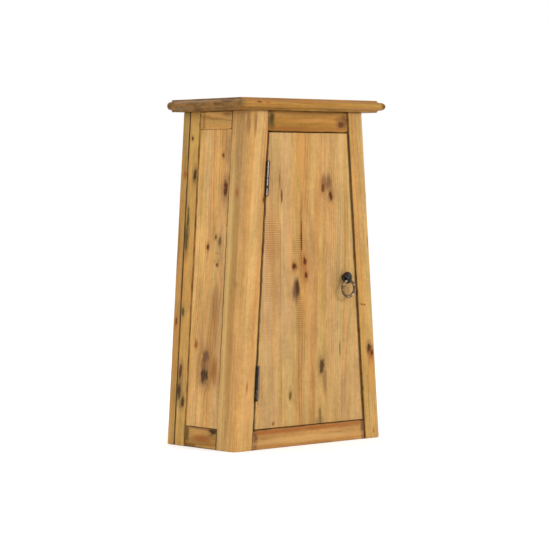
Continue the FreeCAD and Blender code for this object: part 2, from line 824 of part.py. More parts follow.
washer = new_body("pull_washer")
primitive(washer, "AdditiveCylinder", (0, 0, 0), TOWARDS_FRONT,
          Radius=pull_bolt_radius * 2.4, Height=washer_thickness)
primitive(washer, "SubtractiveCylinder", (0, 1, 0), TOWARDS_FRONT,
          Radius=pull_bolt_radius, Height=washer_thickness + 2)
place(washer, (pull_x, y_at(door_back - washer_thickness), pull_level))

nut = new_body("pull_nut")
nut_back = door_back - washer_thickness - nut_thickness
nut_prism = primitive(nut, "AdditivePrism", (0, 0, 0), TOWARDS_FRONT,
                      Circumradius=pull_bolt_radius * 1.9, Height=nut_thickness)
nut_prism.Polygon = 6
primitive(nut, "SubtractiveCylinder", (0, 1, 0), TOWARDS_FRONT,
          Radius=pull_bolt_radius, Height=nut_thickness + 2)
place(nut, (pull_x, y_at(nut_back), pull_level))

ring = new_body("pull_ring")
primitive(ring, "AdditiveTorus", (0, 0, -ring_radius), TOWARDS_FRONT,
          Radius1=ring_radius, Radius2=ring_wire_radius)
place(ring, (pull_x, pull_centre[1] - eye_forward, pull_level - eye_drop))


# ---------------------------------------------------------------- magnetic catch

def level_box(label, x, distance, z, width, depth, height):
    """A box from a left edge, a distance in front of the wall and a lower level."""
    body = new_body(label)
    primitive(body, "AdditiveBox", (x, y_at(distance + depth), z), None,
              Length=width, Width=depth, Height=height)
    return body


catch_left = catch_offset - catch_width / 2
catch_back = front_rail_back - catch_depth
catch_low = door_top - catch_height * 0.55
magnet_width = catch_width - 10
magnet_height = 16
magnet_depth = door_back - 1.2 - fit_clearance - (front_rail_back - 6)
housing = level_box("catch_housing", catch_left, catch_back, catch_low,
                    catch_width, catch_depth, catch_height)
primitive(housing, "SubtractiveBox", (catch_left + 5, y_at(front_rail_back), catch_low + 3),
          None, Length=magnet_width, Width=6, Height=magnet_height)
level_box("catch_magnet", catch_left + 5, front_rail_back - 6, catch_low + 3,
          magnet_width, magnet_depth, magnet_height)
level_box("strike_plate", catch_left + 2, door_back - 1.2, catch_low + 1,
          catch_width - 4, as_size(1.2), magnet_height + 4)


# ---------------------------------------------------------------- screws

short_screw = Screw("short_screw_master", catch_depth + 12, 1.4)
strike_fixing = Screw("strike_screw_master", 12, 1.2)
ledge_screw = Screw("ledge_screw_master", ledge_thickness + 14, 1.75)
batten_screw = Screw("batten_screw_master", batten_thickness + 24, 1.75)
cleat_screw = Screw("cleat_screw_master", cleat_size + 13, 1.75)
top_screw = Screw("top_screw_master", cleat_size + 14, 1.75)
floor_screw = Screw("floor_screw_master", floor_thickness + 15, 1.75)
frame_screw = Screw("frame_screw_master", back_frame_thickness + 22, 2)

places = []
for side, word in side_names:
    for ratio in (0.09, 0.5, 0.91):
        z = ratio * body_height
        places.append(((side * half_width(z, back_stile_width / 2), y_at(as_size(0)), z),
                       TOWARDS_FRONT, ["back_stile_" + word, "rear_post_" + word]))
fasten("back_frame_screws", frame_screw, places)

places = []
for word, level in (("lower", lower_shelf_level), ("upper", upper_shelf_level)):
    z = level - shelf_thickness - batten_height / 2
    for side, hand in side_names:
        for post, distance in (("rear_post_", back_frame_thickness + rear_post_depth / 2),
                               ("front_post_", front_post_back + 11)):
            point = (side * half_width(z, post_face + batten_thickness), y_at(distance), z)
            places.append((point, outwards(side),
                           ["shelf_batten_%s_%s" % (word, hand), post + hand]))
fasten("batten_screws", batten_screw, places)

places = []
rail_middle = (rear_post_front + front_post_back) / 2
for side, word in side_names:
    for name, z in (("top", body_height - cleat_size / 2),
                    ("bottom", floor_cleat_top - cleat_size / 2)):
        for shift in (-38, 38):
            point = (side * half_width(z, cleat_inner), y_at(rail_middle + shift), z)
            places.append((point, outwards(side),
                           ["%s_cleat_%s" % (name, word), "side_%s_rail_%s" % (name, word)]))
fasten("cleat_screws", cleat_screw, places)

places = []
floor_places = []
cleat_middle = side_rail_inner + cleat_size / 2
for side, word in side_names:
    for shift in (-22, 22):
        z = body_height - cleat_size
        places.append(((side * half_width(z, cleat_middle), y_at(rail_middle + shift), z),
                       UPWARDS, ["top_cleat_" + word, "top_board"]))
        z = floor_level
        floor_places.append(((side * half_width(z, cleat_middle), y_at(rail_middle + shift), z),
                             DOWNWARDS, ["bottom_board", "bottom_cleat_" + word]))
fasten("top_screws", top_screw, places)
fasten("floor_screws", floor_screw, floor_places)

places = []
for word, z in ledge_levels:
    reach = half_width(z, door_edge_inset + ledge_end_gap + 20)
    for x, board in ((-reach, "left"), (as_size(0), "middle"), (reach, "right")):
        places.append(((x, y_at(ledge_back), z), TOWARDS_FRONT,
                       ["door_ledge_" + word, "door_board_" + board]))
fasten("ledge_screws", ledge_screw, places)

catch_screw_z = (catch_low + catch_height + front_top_low) / 2
places = [((catch_offset + shift, y_at(catch_back), catch_screw_z), TOWARDS_FRONT,
           ["catch_housing", "front_top_rail"]) for shift in (-13, 13)]
fasten("catch_screws", short_screw, places)

strike_z = catch_low + 1 + (magnet_height + 4) / 2
places = [((catch_offset, y_at(door_back - 1.2), strike_z), TOWARDS_FRONT,
           ["strike_plate", "door_board_right"])]
fasten("strike_screw", strike_fixing, places)


# ---------------------------------------------------------------- rounded front posts

def long_front_edge(shape, side):
    """The name of the outer vertical edge at the front of a post."""
    front = y_at(body_depth).value
    best = None
    for number, edge in enumerate(shape.Edges, 1):
        ends = [vertex.Point for vertex in edge.Vertexes]
        if len(ends) < 2 or max(abs(point.y - front) for point in ends) > 0.01:
            continue
        if abs(ends[0].z - ends[1].z) < 0.9 * body_height.value:
            continue
        outward = side * (ends[0].x + ends[1].x)
        if best is None or outward > best[0]:
            best = (outward, "Edge%d" % number)
    return best[1]


doc.recompute()
for side, word in side_names:
    post = bodies["front_post_" + word]
    last = post.Tip
    rounding = post.newObject("PartDesign::Fillet", "OuterCorner")
    rounding.Base = (last, [long_front_edge(last.Shape, side)])
    rounding.Radius = post_round.value
    bind(rounding, "Radius", post_round)
doc.recompute()


# ---------------------------------------------------------------- checks and export

for obj in doc.Objects:
    for state in obj.State:
        if "Invalid" in state or "Error" in state:
            raise RuntimeError("%s is %s" % (obj.Label, state))
for cut in cuts:
    base = cut.BaseFeature
    if base is None or cut.Shape.Volume >= base.Shape.Volume - 1e-6:
        raise RuntimeError("%s removes nothing" % cut.Label)

os.makedirs("parts", exist_ok=True)
kept = [name for name in bodies if not name.endswith("_master")]
for name in kept:
    shape = bodies[name].Shape
    if shape.isNull() or not shape.isValid():
        raise RuntimeError("%s has no valid shape" % name)
    shape.exportStep("parts/%s.step" % name)
print("%d nodes written" % len(kept))
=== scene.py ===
import math

import bmesh
import bpy
from bpy.props import FloatProperty, FloatVectorProperty, IntProperty, PointerProperty
from mathutils import Matrix, Vector, noise


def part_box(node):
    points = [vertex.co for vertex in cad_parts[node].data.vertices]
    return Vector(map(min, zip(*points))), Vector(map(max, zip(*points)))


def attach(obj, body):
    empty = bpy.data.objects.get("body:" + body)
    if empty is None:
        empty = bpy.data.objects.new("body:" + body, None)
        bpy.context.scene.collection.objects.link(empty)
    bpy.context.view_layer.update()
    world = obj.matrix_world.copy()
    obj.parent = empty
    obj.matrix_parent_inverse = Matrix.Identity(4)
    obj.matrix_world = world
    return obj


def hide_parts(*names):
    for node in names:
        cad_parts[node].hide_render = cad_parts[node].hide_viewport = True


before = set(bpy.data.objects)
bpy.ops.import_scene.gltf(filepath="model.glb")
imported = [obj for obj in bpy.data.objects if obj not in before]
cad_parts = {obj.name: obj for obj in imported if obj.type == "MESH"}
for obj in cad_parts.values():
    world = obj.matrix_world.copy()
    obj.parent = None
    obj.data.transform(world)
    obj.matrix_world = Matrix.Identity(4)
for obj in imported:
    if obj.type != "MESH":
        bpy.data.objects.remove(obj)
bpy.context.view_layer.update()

bl_info = {
    "name": "Flared pine wall cabinet",
    "version": (1, 0, 0),
    "blender": (4, 5, 0),
    "location": "View3D > Sidebar > Cabinet",
    "description": "Builds the visible pieces and finishes of a small flared pine wall cabinet",
    "category": "Object",
}

MM = 0.001


# ---------------------------------------------------------------- frame sizes

def low(node):
    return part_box(node)[0]


def high(node):
    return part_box(node)[1]


def slice_at(node, z):
    """The lowest and highest x of a node's vertices at one height."""
    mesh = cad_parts[node].data
    xs = [v.co.x for v in mesh.vertices if abs(v.co.z - z) < 0.05 * MM]
    return min(xs), max(xs)


BODY_TOP = high("front_post_left").z
FOOT_HALF = -low("front_post_left").x
LEAN = (FOOT_HALF + slice_at("front_post_left", BODY_TOP)[0]) / BODY_TOP
POST_FACE = FOOT_HALF + slice_at("front_post_left", 0)[1]


def half_width(z):
    """Half the cabinet's width at one height."""
    return FOOT_HALF - LEAN * z


def left_insets(node):
    """How far a left member's outer and inner faces stand in from the leaning side."""
    return half_width(low(node).z) + low(node).x, half_width(high(node).z) + high(node).x


# ---------------------------------------------------------------- user values

def paint(red, green, blue):
    """A colour given by its 0-255 screen values, as the linear values Blender keeps."""
    linear = []
    for part in (red, green, blue):
        part /= 255
        linear.append(part / 12.92 if part <= 0.04045 else ((part + 0.055) / 1.055) ** 2.4)
    return tuple(linear)


def length(name, description, default):
    return FloatProperty(name=name, description=description, default=default,
                         min=0, unit="LENGTH", precision=5)


def share(name, description, default, top=1):
    return FloatProperty(name=name, description=description, default=default,
                         min=0, max=top, subtype="FACTOR")


def colour(name, description, *screen):
    return FloatVectorProperty(name=name, description=description, size=3, min=0, max=1,
                               default=paint(*screen), subtype="COLOR")


class CabinetSizes(bpy.types.PropertyGroup):
    arris: length("Arris", "Radius worn on the long edges of rails and posts", 1.3 * MM)
    outer_round: length("Post round", "Radius of a front post's outer corner", 15 * MM)
    joint_arris: length("Joint arris", "Radius on edges that meet another board", 0.5 * MM)
    door_arris: length("Door arris", "Radius round the edge of the door", 1.6 * MM)
    station: length("Step", "Distance between cuts along a board", 8 * MM)
    wear: share("Wear", "How unevenly the long edges are worn", 0.6)
    nose: length("Nose", "Radius of the half round on the slab's edge", 8 * MM)
    shoulder: length("Shoulder", "Flat between the slab's cove and its nose", 0.7 * MM)
    ring_wire: length("Ring wire", "Radius of the wire of the ring", 3.2 * MM)
    hammered: length("Hammering", "Depth of the hammer marks on the ring", 0.25 * MM)


class CabinetFinish(bpy.types.PropertyGroup):
    honey: colour("Honey", "Waxed pine", 229, 186, 118)
    amber: colour("Amber", "Warm streaks of the pine", 219, 157, 84)
    grain: colour("Grain line", "Dark edge of each growth ring", 160, 110, 54)
    olive: colour("Olive", "Weathered, greenish streaks", 160, 132, 80)
    plum: colour("Plum", "Lilac grey smudges round the knots", 128, 88, 58)
    moss: colour("Moss", "Greenish black weathering", 96, 80, 36)
    knot: colour("Knot", "Heart of a knot", 92, 46, 10)
    rust: colour("Rust", "Resin-red wood beside a knot", 166, 92, 36)
    # This colour serves real stains and knot hearts, and also the painted shade along joints and seams.
    soot_and_shade: colour("Soot", "Old dirt in cracks and corners", 62, 40, 14)
    iron: colour("Iron", "Blackened iron", 44, 41, 38)
    worn_iron: colour("Worn iron", "Iron rubbed bare", 122, 112, 102)
    steel: colour("Steel", "Plain steel", 176, 174, 170)
    plastic: colour("Plastic", "Moulded body of the catch", 116, 72, 42)
    grain_depth: share("Grain depth", "Strength of the raised grain", 0.35)
    sheen: share("Wax", "Gloss left by the wax", 0.1)


def sizes():
    return bpy.context.scene.cabinet_sizes


def finish():
    return bpy.context.scene.cabinet_finish


# ---------------------------------------------------------------- node helpers

class Nodes:
    """Short ways to add nodes to one tree and join them."""

    def __init__(self, tree):
        self.tree = tree

    def add(self, kind, **settings):
        node = self.tree.nodes.new("ShaderNode" + kind)
        for key, value in settings.items():
            setattr(node, key, value)
        return node

    def feed(self, socket, value):
        if isinstance(value, bpy.types.NodeSocket):
            self.tree.links.new(value, socket)
        elif socket.type == "RGBA" and len(value) == 3:
            socket.default_value = (*value, 1)
        else:
            socket.default_value = value

    def math(self, operation, *values, clamp=False):
        node = self.add("Math", operation=operation, use_clamp=clamp)
        for socket, value in zip(node.inputs, values):
            self.feed(socket, value)
        return node.outputs[0]

    def vector(self, operation, *values, scale=None):
        node = self.add("VectorMath", operation=operation)
        for socket, value in zip(node.inputs, values):
            self.feed(socket, value)
        if scale is not None:
            self.feed(node.inputs["Scale"], scale)
        return node.outputs["Value" if operation in ("LENGTH", "DOT_PRODUCT") else "Vector"]

    def join(self, x, y, z):
        node = self.add("CombineXYZ")
        for socket, value in zip(node.inputs, (x, y, z)):
            self.feed(socket, value)
        return node.outputs[0]

    def split(self, vector):
        node = self.add("SeparateXYZ")
        self.feed(node.inputs[0], vector)
        return node.outputs[0], node.outputs[1], node.outputs[2]

    def noise(self, vector, stretch, detail=2, roughness=0.5, output="Fac"):
        """Noise whose grains are stretched by a scale for each direction."""
        node = self.add("TexNoise")
        self.feed(node.inputs["Vector"], self.vector("MULTIPLY", vector, stretch))
        node.inputs["Scale"].default_value = 1
        node.inputs["Detail"].default_value = detail
        node.inputs["Roughness"].default_value = roughness
        return node.outputs[output]

    def ramp(self, value, start, end, first=0, last=1, smooth=True):
        """A value carried from one range to another, and held at its ends."""
        node = self.add("MapRange", interpolation_type="SMOOTHSTEP" if smooth else "LINEAR")
        for socket, item in zip(node.inputs, (value, start, end, first, last)):
            self.feed(socket, item)
        return node.outputs[0]

    def mix(self, factor, first, second, way="MIX"):
        node = self.add("Mix", data_type="RGBA", blend_type=way)
        self.feed(node.inputs[0], factor)
        self.feed(node.inputs[6], first)
        self.feed(node.inputs[7], second)
        return node.outputs[2]

    def group(self, name, **values):
        """A shared group, with its inputs set by name, spaces written as underscores."""
        node = self.add("Group", node_tree=bpy.data.node_groups[name])
        for key, value in values.items():
            self.feed(node.inputs[key.replace("_", " ")], value)
        return node.outputs


def new_group(name, inputs, outputs):
    """An empty shader group, its Nodes, its input sockets and its output node."""
    tree = bpy.data.node_groups.new(name, "ShaderNodeTree")
    for direction, sockets in (("INPUT", inputs), ("OUTPUT", outputs)):
        for label, kind in sockets:
            tree.interface.new_socket(name=label, in_out=direction,
                                      socket_type="NodeSocket" + kind)
    nodes = Nodes(tree)
    given = tree.nodes.new("NodeGroupInput").outputs
    result = tree.nodes.new("NodeGroupOutput").inputs
    return nodes, given, result


# ---------------------------------------------------------------- shared groups

def make_grain_group():
    """Sawn pine: growth rings round a heart, long streaks, fibres and pores.
    The vector runs across the board, into it, and along it, in metres."""
    n, given, result = new_group(
        "Pine Grain",
        [("Vector", "Vector"), ("Seed", "Float"), ("Heart", "Float"), ("Depth", "Float"),
         ("Ring Width", "Float"), ("Pale", "Color"), ("Warm", "Color"), ("Line", "Color"),
         ("Grey", "Color"), ("Contrast", "Float"), ("Streaks", "Float"),
         ("Weathering", "Float")],
        [("Color", "Color"), ("Height", "Float"), ("Roughness", "Float")])
    place = n.vector("ADD", given["Vector"],
                     n.vector("SCALE", (1.31, 2.17, 3.71), scale=given["Seed"]))
    sway = n.vector("SUBTRACT", n.noise(place, (5, 5, 1.6), 1, 0.4, "Color"), (0.5, 0.5, 0.5))
    across, into, along = n.split(n.vector("ADD", given["Vector"],
                                           n.vector("SCALE", sway, scale=0.05)))
    across = n.math("SUBTRACT", across, given["Heart"])
    into = n.math("ADD", into, given["Depth"])
    radius = n.math("SQRT", n.math("ADD", n.math("MULTIPLY", across, across),
                                   n.math("MULTIPLY", into, into)))
    tremble = n.noise(place, (90, 90, 7), 2, 0.5)
    radius = n.math("MULTIPLY_ADD", tremble, 0.0022, radius)
    rings = n.math("DIVIDE", radius, given["Ring Width"])
    turn = n.math("FRACT", rings)
    late = n.math("MULTIPLY", n.ramp(turn, 0.3, 0.86), n.ramp(turn, 1, 0.9))
    ring_tone = n.add("TexNoise", noise_dimensions="1D")
    n.feed(ring_tone.inputs["W"], n.math("ADD", n.math("MULTIPLY", rings, 0.37), given["Seed"]))
    ring_tone.inputs["Scale"].default_value = 1
    ring_tone.inputs["Detail"].default_value = 2
    band = n.ramp(ring_tone.outputs["Fac"], 0.36, 0.64)

    broad = n.ramp(n.noise(place, (34, 34, 1.6), 3, 0.6), 0.38, 0.64)
    narrow = n.ramp(n.noise(place, (150, 150, 6), 4, 0.7), 0.42, 0.7)
    warm = n.math("MULTIPLY", given["Streaks"],
                  n.math("MULTIPLY_ADD", band, 0.45, n.math("MULTIPLY", broad, 0.55)))
    color = n.mix(warm, given["Pale"], given["Warm"])
    cast = n.noise(n.vector("ADD", place, (8, 1, 6)), (42, 42, 2.5), 3, 0.6, "Color")
    cast = n.vector("MULTIPLY_ADD", n.vector("SUBTRACT", cast, (0.5, 0.5, 0.5)),
                    (0.34, 0.3, 0.7), (1, 1, 1))
    color = n.mix(1, color, cast, "MULTIPLY")
    grey = n.ramp(n.noise(n.vector("ADD", place, (3, 5, 7)), (40, 40, 1.7), 4, 0.6), 0.52, 0.72)
    color = n.mix(n.math("MULTIPLY", grey, given["Weathering"]), color, given["Grey"])
    fade = n.ramp(n.noise(n.vector("ADD", place, (9, 4, 2)), (28, 28, 3), 3, 0.6), 0.4, 0.62)
    lines = n.math("MULTIPLY", late, n.math("MULTIPLY", fade, n.math(
        "MULTIPLY_ADD", band, 0.5, 0.3)))
    lines = n.math("MULTIPLY_ADD", narrow, 0.28, lines)
    color = n.mix(n.math("MULTIPLY", lines, given["Contrast"]), color, given["Line"])
    fibre = n.noise(place, (520, 520, 13), 2, 0.6)
    mottle = n.noise(place, (34, 34, 11), 4, 0.65)
    fleck = n.noise(place, (230, 230, 90), 4, 0.75)
    ripple = n.noise(place, (60, 60, 190), 3, 0.7)
    shade = n.math("ADD", n.ramp(fibre, 0.2, 0.8, 0.97, 1.03, False),
                   n.math("ADD", n.ramp(mottle, 0.25, 0.75, -0.22, 0.22, False),
                          n.ramp(fleck, 0.25, 0.75, -0.12, 0.12, False)))
    shade = n.math("ADD", shade, n.ramp(ripple, 0.25, 0.75, -0.06, 0.06, False))
    color = n.mix(1, color, n.join(shade, shade, shade), "MULTIPLY")
    pore = n.ramp(n.noise(place, (420, 420, 26), 2, 0.6), 0.68, 0.76)
    color = n.mix(n.math("MULTIPLY", pore, 0.4), color, given["Line"])
    n.feed(result["Color"], color)
    height = n.math("MULTIPLY_ADD", fibre, 0.35, n.math("MULTIPLY", late, 0.4))
    n.feed(result["Height"], n.math("MULTIPLY_ADD", pore, -0.8, height))
    n.feed(result["Roughness"], n.math("MULTIPLY_ADD", mottle, 0.2,
                                       n.math("MULTIPLY_ADD", late, -0.06, 0.36)))


def make_knot_group():
    """One knot: a dark ragged heart, a halo, and grain that bends round it."""
    n, given, result = new_group(
        "Knot",
        [("Vector", "Vector"), ("Centre", "Vector"), ("Reach", "Vector")],
        [("Vector", "Vector"), ("Core", "Float"), ("Halo", "Float")])
    away = n.vector("SUBTRACT", given["Vector"], given["Centre"])
    scaled = n.vector("DIVIDE", away, given["Reach"])
    rag = n.vector("SUBTRACT", n.noise(given["Vector"], (180, 180, 70), 3, 0.65, "Color"),
                   (0.5, 0.5, 0.5))
    ragged = n.vector("LENGTH", n.vector("ADD", scaled, n.vector("SCALE", rag, scale=1.7)))
    n.feed(result["Core"], n.ramp(ragged, 1.1, 0.55))
    n.feed(result["Halo"], n.ramp(ragged, 2.3, 0.8))
    near = n.vector("LENGTH", scaled)
    pull = n.math("EXPONENT", n.math("MULTIPLY", n.math("MULTIPLY", near, near), -0.5))
    pull = n.math("SUBTRACT", 1, pull)
    n.feed(result["Vector"], n.vector("ADD", given["Centre"], n.vector(
        "MULTIPLY", away, n.join(pull, pull, 1))))


def make_stain_group():
    """A soft stain with a broken edge, drawn out along the grain."""
    n, given, result = new_group(
        "Stain",
        [("Vector", "Vector"), ("Centre", "Vector"), ("Reach", "Vector")],
        [("Mask", "Float")])
    scaled = n.vector("DIVIDE", n.vector("SUBTRACT", given["Vector"], given["Centre"]),
                      given["Reach"])
    rag = n.vector("SUBTRACT", n.noise(given["Vector"], (130, 130, 16), 4, 0.65, "Color"),
                   (0.5, 0.5, 0.5))
    ragged = n.vector("LENGTH", n.vector("ADD", scaled, n.vector("SCALE", rag, scale=1.1)))
    n.feed(result["Mask"], n.ramp(ragged, 1.15, 0.35))


def make_pin_hole_group():
    """Beetle holes and specks, thick in the middle of one patch."""
    n, given, result = new_group(
        "Pin Holes",
        [("Vector", "Vector"), ("Centre", "Vector"), ("Reach", "Vector")],
        [("Mask", "Float")])
    patch = n.group("Stain", Vector=given["Vector"], Centre=given["Centre"],
                    Reach=given["Reach"])["Mask"]
    cells = n.add("TexVoronoi")
    n.feed(cells.inputs["Vector"], n.vector("MULTIPLY", given["Vector"], (170, 170, 95)))
    cells.inputs["Scale"].default_value = 1
    hole = n.ramp(cells.outputs["Distance"], 0.32, 0.16)
    n.feed(result["Mask"], n.math("MULTIPLY", hole, n.ramp(patch, 0.3, 0.6)))


def make_saw_group():
    """Faint marks left by a circular saw, across the grain, inside one patch."""
    n, given, result = new_group(
        "Saw Marks",
        [("Vector", "Vector"), ("Centre", "Vector"), ("Reach", "Vector"), ("Pitch", "Float")],
        [("Mask", "Float")])
    patch = n.group("Stain", Vector=given["Vector"], Centre=given["Centre"],
                    Reach=given["Reach"])["Mask"]
    across, into, along = n.split(given["Vector"])
    wander = n.noise(given["Vector"], (30, 30, 60), 2, 0.5)
    step = n.math("DIVIDE", n.math("MULTIPLY_ADD", wander, 0.002, along), given["Pitch"])
    wave = n.ramp(n.math("PINGPONG", step, 0.5), 0.12, 0.4)
    n.feed(result["Mask"], n.math("MULTIPLY", patch, wave))


def make_wear_group():
    """Rubbed and dirty places of a board's edges, from its worn-edge attribute."""
    n, given, result = new_group(
        "Edge Wear",
        [("Vector", "Vector"), ("Edge", "Float")],
        [("Rubbed", "Float"), ("Dirty", "Float")])
    broken = n.noise(given["Vector"], (60, 60, 14), 3, 0.6)
    n.feed(result["Rubbed"], n.math("MULTIPLY", given["Edge"], n.ramp(broken, 0.36, 0.6)))
    nicks = n.noise(n.vector("ADD", given["Vector"], (1, 2, 3)), (140, 140, 40), 3, 0.6)
    n.feed(result["Dirty"], n.math("MULTIPLY", given["Edge"], n.ramp(nicks, 0.56, 0.68)))


def make_metal_group():
    """Forged metal skin: hammered dimples, worn high spots and a trace of rust."""
    n, given, result = new_group(
        "Metal Skin",
        [("Vector", "Vector"), ("Scale", "Float"), ("Dark", "Color"), ("Worn", "Color"),
         ("Rust", "Color"), ("Wear", "Float")],
        [("Color", "Color"), ("Roughness", "Float"), ("Height", "Float")])
    place = n.vector("SCALE", given["Vector"], scale=given["Scale"])
    dimples = n.noise(place, (0.35, 0.35, 0.35), 2, 0.5)
    rubbed = n.ramp(n.math("MULTIPLY_ADD", n.noise(place, (1, 1, 1), 4, 0.65), 0.5,
                           n.math("MULTIPLY", dimples, 0.5)), 0.46, 0.66)
    color = n.mix(n.math("MULTIPLY", rubbed, given["Wear"]), given["Dark"], given["Worn"])
    rust = n.ramp(n.noise(n.vector("ADD", place, (5, 6, 7)), (0.8, 0.8, 0.8), 4, 0.7),
                  0.58, 0.74)
    color = n.mix(n.math("MULTIPLY", rust, 0.5), color, given["Rust"])
    n.feed(result["Color"], color)
    n.feed(result["Roughness"], n.math("MULTIPLY_ADD", rubbed, -0.15,
                                       n.math("MULTIPLY_ADD", rust, 0.2, 0.46)))
    n.feed(result["Height"], n.math("MULTIPLY_ADD", dimples, 0.8,
                                    n.noise(place, (3, 3, 3), 3, 0.6)))


def make_end_grain_group():
    """Sawn end grain: close rings, saw scratches and grey mottling."""
    n, given, result = new_group(
        "End Grain",
        [("Vector", "Vector"), ("Pale", "Color"), ("Dark", "Color"), ("Grey", "Color")],
        [("Color", "Color"), ("Height", "Float")])
    across, into, along = n.split(given["Vector"])
    bend = n.math("MULTIPLY", n.math("MULTIPLY", across, across), 1.8)
    level = n.math("ADD", n.math("ADD", into, bend), n.math("MULTIPLY", n.noise(
        given["Vector"], (40, 40, 40), 2), 0.003))
    turn = n.math("FRACT", n.math("DIVIDE", level, 0.0042))
    late = n.math("MULTIPLY", n.ramp(turn, 0.2, 0.8), n.ramp(turn, 1, 0.9))
    mottle = n.noise(given["Vector"], (60, 110, 60), 4, 0.7)
    clouds = n.noise(given["Vector"], (24, 50, 24), 3, 0.6)
    color = n.mix(n.math("MULTIPLY", late, 0.35), given["Pale"], given["Dark"])
    color = n.mix(n.ramp(mottle, 0.42, 0.62), color, given["Grey"])
    color = n.mix(n.ramp(clouds, 0.48, 0.68), color, given["Dark"])
    n.feed(result["Color"], color)
    n.feed(result["Height"], n.math("ADD", late, mottle))


# ---------------------------------------------------------------- board finish

ORDERS = {
    "upright": (0, 1, 2),
    "side upright": (1, 0, 2),
    "rail": (2, 1, 0),
    "side rail": (2, 0, 1),
    "slab": (1, 2, 0),
}


def turned(values, order):
    return tuple(values[index] for index in ORDERS[order])


class Pine:
    """One board's finish: which way its grain runs, its tone, knots, stains and saw marks.

    Places are given in millimetres on the board: x, distance in front of the wall, z."""

    def __init__(self, order, side=0, seed=0, heart=(0, 60), ring=3.2, tone=1, warm=0.8,
                 contrast=0.75, weather=0.35, tint=(1, 1, 1)):
        self.order = order
        self.side = side
        self.seed = seed
        self.heart = heart
        self.ring = ring
        self.tone = tone
        self.warm = warm
        self.contrast = contrast
        self.weather = weather
        self.tint = tint
        self.knots = []
        self.stains = []
        self.saws = []
        self.holes = []

    def spot(self, x, out, z):
        """A place on the board in the texture's own directions, in metres."""
        square = (x + self.side * LEAN * z, WALL - out, z)
        return turned([value * MM for value in square], self.order)

    def reach(self, x, out, z):
        return turned([value * MM for value in (x, out, z)], self.order)

    def knot(self, place, reach, core="knot", halo="rust", strength=0.9):
        self.knots.append((self.spot(*place), self.reach(*reach), core, halo, strength))
        return self

    def stain(self, place, reach, colour_name, strength=0.5):
        self.stains.append((self.spot(*place), self.reach(*reach), colour_name, strength))
        return self

    def pin_holes(self, place, reach, strength=0.7):
        self.holes.append((self.spot(*place), self.reach(*reach), strength))
        return self

    def saw(self, place, reach, pitch=4.4, strength=0.3):
        self.saws.append((self.spot(*place), self.reach(*reach), pitch * MM, strength))
        return self


WALL = high("back_stile_left").y / MM


def scaled(colour_value, *factors):
    return tuple(min(1, part * factor) for part, factor in zip(colour_value, factors))


def new_material(name):
    material = bpy.data.materials.new(name)
    material.use_nodes = True
    material.node_tree.nodes.clear()
    nodes = Nodes(material.node_tree)
    shader = nodes.add("BsdfPrincipled")
    out = nodes.add("OutputMaterial")
    nodes.feed(out.inputs["Surface"], shader.outputs[0])
    return material, nodes, shader


def bumped(n, shader, height, strength, distance):
    bump = n.add("Bump")
    bump.inputs["Strength"].default_value = strength
    bump.inputs["Distance"].default_value = distance
    n.feed(bump.inputs["Height"], height)
    n.feed(shader.inputs["Normal"], bump.outputs[0])


